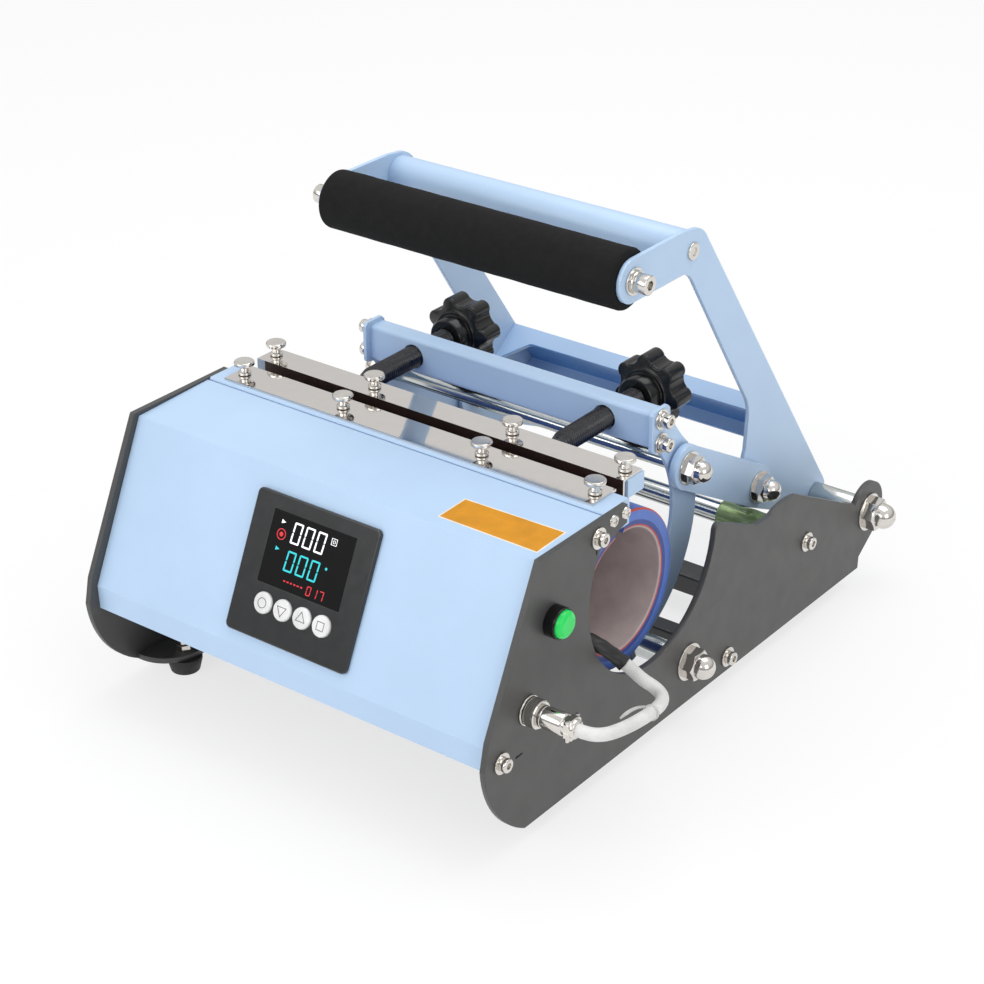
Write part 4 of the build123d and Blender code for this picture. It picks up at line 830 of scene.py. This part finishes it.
def plug_pieces():
    """The plug's shell, its knurled ring and the cable clamp's two saddles with two screws each."""
    low, high = corners("mat_plug")
    face = corners("side_plate_right")[1].x
    centre = Vector((face, (low.y + high.y) / 2, (low.z + high.z) / 2))
    place = axis_place(centre, (1, 0, 0))
    knurls, knurl_depth = 44, 0.3 * MM

    def knurl(angle, radius, height):
        inside = 2.9 * MM < height < 8.7 * MM and radius > 8.6 * MM
        return knurl_depth * (math.cos(knurls * angle) * 0.5 - 0.5) if inside else 0.0

    ring = [(7.0, 1.7), (8.6, 1.7), (9.1, 2.2), (9.1, 2.8), (9.2, 3.0), (9.2, 8.6), (9.1, 8.8), (9.1, 9.3),
            (8.5, 9.9), (7.0, 9.9)]
    collar = new_piece("plug_knurled_ring", *lathe(in_mm(ring), place, knurls * 4, knurl), ["nickel"], "base",
                       "nickel", replaces=["mat_plug"], smooth=30)
    drawn = 36.0              # mm, the shell's length as drawn here, stretched to the solid's
    shell = [(0.0, 9.2), (6.9, 9.2), (6.9, 10.0), (7.1, 10.2), (7.1, 12.6), (6.75, 12.9), (6.75, 13.6),
             (7.1, 13.9), (7.1, 26.6), (6.7, 27.4), (6.2, 27.8), (6.2, 34.9), (5.9, 35.6), (5.4, drawn),
             (0.0, drawn)]
    shell = [(r, h * (high.x - face) / (drawn * MM)) for r, h in in_mm(shell)]
    barrel = new_piece("plug_shell", *lathe(shell, place, 72), ["nickel"], "base", "nickel",
                       replaces=["mat_plug"])
    head = in_mm([(0.0, 0.0), (1.5, 0.0), (1.5, 2.4), (1.2, 3.0), (0.0, 3.1)])
    saddles = []
    for turn in (1, -1):
        block = []
        for h, inset in ((29.6, 0.4), (30.0, 0.0), (33.8, 0.0), (34.2, 0.4)):
            wide, tall = 6.4 - inset, 7.0 - inset
            outline = [(-wide, 1.0), (wide, 1.0), (wide, 4.6), (3.8, tall), (-3.8, tall), (-wide, 4.6)]
            block.append([place @ Vector((x * MM, turn * y * MM, h * MM)) for x, y in outline[::turn]])
        saddles.append(loft(block))
        for x in (-5.0, 5.0):
            head_at = place @ Matrix.Translation((x * MM, turn * 4.3 * MM, 31.9 * MM))
            saddles.append(lathe(head, head_at @ Matrix.Rotation(-turn * math.pi / 2, 4, "X"), 20))
    clamp = new_piece("plug_cable_clamp", *merge(*saddles), ["nickel"], "base", "nickel",
                      replaces=["mat_plug"])
    return [collar, barrel, clamp]


# ------------------------------------------------------------------ grip, sleeves and small things
def foam_grip():
    """The handle's foam sleeve, rounded at its ends and a little uneven."""
    low, high = corners("foam_grip")
    centre = (low + high) / 2
    radius = (high.z - low.z) / 2
    place = axis_place(centre, (1, 0, 0))
    half = (high.x - low.x) / 2
    bore, edge, steps = 8.05 * MM, 2.6 * MM, 60
    flat = radius - edge
    turns = (0.5, 1.0, 1.5)
    profile = [(bore, -half), (flat, -half)]
    profile += [(flat + edge * math.sin(t), -half + edge - edge * math.cos(t)) for t in turns]
    profile += [(radius, -half + edge + (2 * half - 2 * edge) * k / steps) for k in range(steps + 1)]
    profile += [(flat + edge * math.sin(t), half - edge + edge * math.cos(t)) for t in reversed(turns)]
    profile += [(flat, half), (bore, half)]

    def uneven(angle, r, height):
        if r < radius - 0.1 * MM:
            return 0.0
        waves = math.sin(31 * height / half + 2 * angle) + math.sin(17 * height / half - 3 * angle)
        return 0.05 * MM * waves - 0.1 * MM

    grip = new_piece("grip_sleeve", *lathe(profile, place, 72, uneven), ["foam"], "handle", "foam",
                     replaces=["foam_grip"])


def bumper_sleeves():
    """Soft clear tubes on the bumper rod, a little creased where the handle rests on them."""
    low, high = corners("bumper_sleeves")
    centre = (low + high) / 2
    outer = (high.z - low.z) / 2
    inner, length, edge, steps = 7.6 * MM, 52.0 * MM, 0.6 * MM, 26
    profile = [(inner, 0.0), (outer - edge, 0.0)]
    profile += [(outer - 0.2 * MM, edge + (length - 2 * edge) * k / steps) for k in range(steps + 1)]
    profile += [(outer - edge, length), (inner, length)]

    def crease(angle, r, height):
        if r < outer - 0.5 * MM:
            return 0.0
        waves = math.sin(3 * angle + 260 * height) * math.sin(210 * height + 1.3)
        return 0.32 * MM * waves - 0.15 * MM

    for word, sign in SIDES:
        start = sign * high.x - (length if sign > 0 else 0.0)
        place = axis_place((start, centre.y, centre.z), (1, 0, 0))
        new_piece(f"bumper_sleeve_{word}", *lathe(profile, place, 56, crease), ["sleeve"], "base",
                  "sleeve_rubber", replaces=["bumper_sleeves"])


def plain_label():
    """A bare orange label with a pale edge, on the casing's top near its right end."""
    corner_points = [at(80.5, -109.3, 0), at(154.8, -109.8, 0), at(154.8, -80.5, 0), at(80.5, -82.5, 0)]
    crease, rear = at(0, -117.2, 175.6), at(0, -52.3, 177.5)
    slope = (rear.z - crease.z) / (rear.y - crease.y)
    centre = sum(corner_points, Vector()) / 4
    sunk = -0.02 * MM
    layers = (("edge", "label_edge", 0.0, 0.10 * MM), ("face", "label", 1.0 * MM, 0.16 * MM))
    for name, colour, inset, raised in layers:
        outline = []
        for corner in corner_points:
            x = corner.x - math.copysign(inset, corner.x - centre.x)
            y = corner.y - math.copysign(inset, corner.y - centre.y)
            outline.append(Vector((x, y, crease.z + slope * (y - crease.y))))
        rings = [[p + Vector((0, 0, lift)) for p in outline] for lift in (sunk, raised)]
        new_piece(f"plain_label_{name}", *loft(rings), [colour], "base", "blue_paint")


def plate_slits():
    """Two short slits beside the casing screws of the right plate, and their mirror on the left, as
    near-black plates that paint the shadow inside the slits.
    """
    half_wide, narrowed, sunk, raised = 0.8, 0.7, -0.2, 0.06      # mm, but narrowed is a share
    runs = (((-63.5, 164.0), (-63.8, 157.5)), ((-144.1, 55.5), (-137.2, 55.7)))
    for word, sign in SIDES:
        face = sign * (corners("side_plate_right")[1].x / MM)
        shapes = []
        for (y0, z0), (y1, z1) in runs:
            start, end = Vector((0, y0, z0)), Vector((0, y1, z1))
            run = end - start
            aside = Vector((0, -run.z, run.y)).normalized() * half_wide
            line = [start + aside, start - aside, end - aside * narrowed, end + aside * narrowed]
            if sign < 0:
                line.reverse()
            rings = [[at(face + sign * lift, p.y, p.z) for p in line] for lift in (sunk, raised)]
            shapes.append(loft(rings))
        new_piece(f"plate_slits_{word}", *merge(*shapes), ["slit"], "base", "dark_paint")


display_lights()
button_symbols()
for word, _ in SIDES:
    knob_and_screw(word)
heating_mat()
mat_lead()
foam_grip()
bumper_sleeves()
plain_label()
plate_slits()


# ------------------------------------------------------------------ stage, light and camera
FLOOR_HALF = 30.0
FLOOR_GREY = 0.86
FLOOR_GLOW = 0.72             # share of plain white in the floor as the camera, gloss and glass see it
AIM = (0, 0, 0.15)


def stage():
    """The pale floor: it takes shadows, and looks nearly white."""
    mesh = bpy.data.meshes.new("floor")
    square = ((-1, -1), (1, -1), (1, 1), (-1, 1))
    mesh.from_pydata([(x * FLOOR_HALF, y * FLOOR_HALF, 0) for x, y in square], [], [(0, 1, 2, 3)])
    floor = bpy.data.objects.new("floor", mesh)
    bpy.context.scene.collection.objects.link(floor)
    material = bpy.data.materials.new("floor")
    material.use_nodes = True
    tree = material.node_tree

    def combined(operation, first, second):
        node = tree.nodes.new("ShaderNodeMath")
        node.operation = operation
        feed(tree, node.inputs[0], first)
        feed(tree, node.inputs[1], second)
        return node.outputs[0]

    shader = tree.nodes["Principled BSDF"]
    shader.inputs["Base Color"].default_value = (FLOOR_GREY, FLOOR_GREY, FLOOR_GREY, 1)
    shader.inputs["Roughness"].default_value = 0.9
    glow = tree.nodes.new("ShaderNodeEmission")
    glow.inputs["Color"].default_value = (1, 1, 1, 1)
    glow.inputs["Strength"].default_value = 1.0
    path = tree.nodes.new("ShaderNodeLightPath").outputs
    seen = combined("MAXIMUM", path["Is Camera Ray"], path["Is Glossy Ray"])
    seen = combined("MAXIMUM", seen, path["Is Transmission Ray"])
    share = combined("MULTIPLY", seen, FLOOR_GLOW)
    mix = tree.nodes.new("ShaderNodeMixShader")
    tree.links.new(share, mix.inputs[0])
    tree.links.new(shader.outputs[0], mix.inputs[1])
    tree.links.new(glow.outputs[0], mix.inputs[2])
    tree.links.new(mix.outputs[0], tree.nodes["Material Output"].inputs["Surface"])
    mesh.materials.append(material)


def world():
    """A plain grey sky, darker at the horizon and below."""
    sky = bpy.data.worlds.new("studio")
    bpy.context.scene.world = sky
    sky.use_nodes = True
    tree = sky.node_tree
    ground = tree.nodes["Background"]
    ground.inputs["Strength"].default_value = 1.0
    coords = tree.nodes.new("ShaderNodeTexCoord")
    split = tree.nodes.new("ShaderNodeSeparateXYZ")
    tree.links.new(coords.outputs["Generated"], split.inputs[0])
    ramp = tree.nodes.new("ShaderNodeValToRGB")
    stops = ramp.color_ramp.elements
    levels = ((0.0, 0.25), (0.12, 0.42), (0.45, 0.80), (1.0, 0.88))      # height, grey
    while len(stops) < len(levels):
        stops.new(1.0)
    for stop, (position, level) in zip(stops, levels):
        stop.position = position
        stop.color = (level, level, level, 1)
    tree.links.new(split.outputs["Z"], ramp.inputs[0])
    tree.links.new(ramp.outputs[0], ground.inputs["Color"])


def softbox(name, where, size, power, aim=AIM):
    light = bpy.data.lights.new(name, "AREA")
    light.shape = "RECTANGLE"
    light.size, light.size_y = size
    light.energy = power
    obj = bpy.data.objects.new(name, light)
    bpy.context.scene.collection.objects.link(obj)
    obj.location = where
    obj.rotation_euler = (Vector(aim) - Vector(where)).to_track_quat("-Z", "Y").to_euler()


def camera():
    """The photograph's view, fitted to it."""
    azimuth, elevation, roll = math.radians(37.46), math.radians(27.56), math.radians(-0.23)
    focal_px, frame_px = 2415.1, 984
    level = math.cos(elevation)
    back = Vector((math.sin(azimuth) * level, -math.cos(azimuth) * level, math.sin(elevation)))
    right = Vector((math.cos(azimuth), math.sin(azimuth), 0))
    up = back.cross(right)
    turned_right = math.cos(roll) * right + math.sin(roll) * up
    turned_up = -math.sin(roll) * right + math.cos(roll) * up
    data = bpy.data.cameras.new("photo_view")
    data.sensor_width = 36.0
    data.lens = focal_px / frame_px * data.sensor_width
    data.clip_start = 0.05
    data.clip_end = 40.0
    eye = bpy.data.objects.new("photo_view", data)
    bpy.context.scene.collection.objects.link(eye)
    eye.matrix_world = basis(turned_right, turned_up, back, at(880.5, -1099.8, 856.4))
    bpy.context.scene.camera = eye


stage()
world()
softbox("key", where=(-0.8, -1.8, 1.25), size=(1.5, 1.1), power=7)
softbox("front", where=(-0.2, -2.2, 1.15), size=(2.2, 0.9), power=9)
softbox("fill", where=(1.9, -0.7, 1.0), size=(1.2, 1.2), power=6.5)
softbox("top", where=(0.1, 0.5, 2.0), size=(1.6, 1.4), power=14, aim=(0, 0.05, 0.1))
camera()
bpy.context.scene.view_settings.view_transform = "Standard"
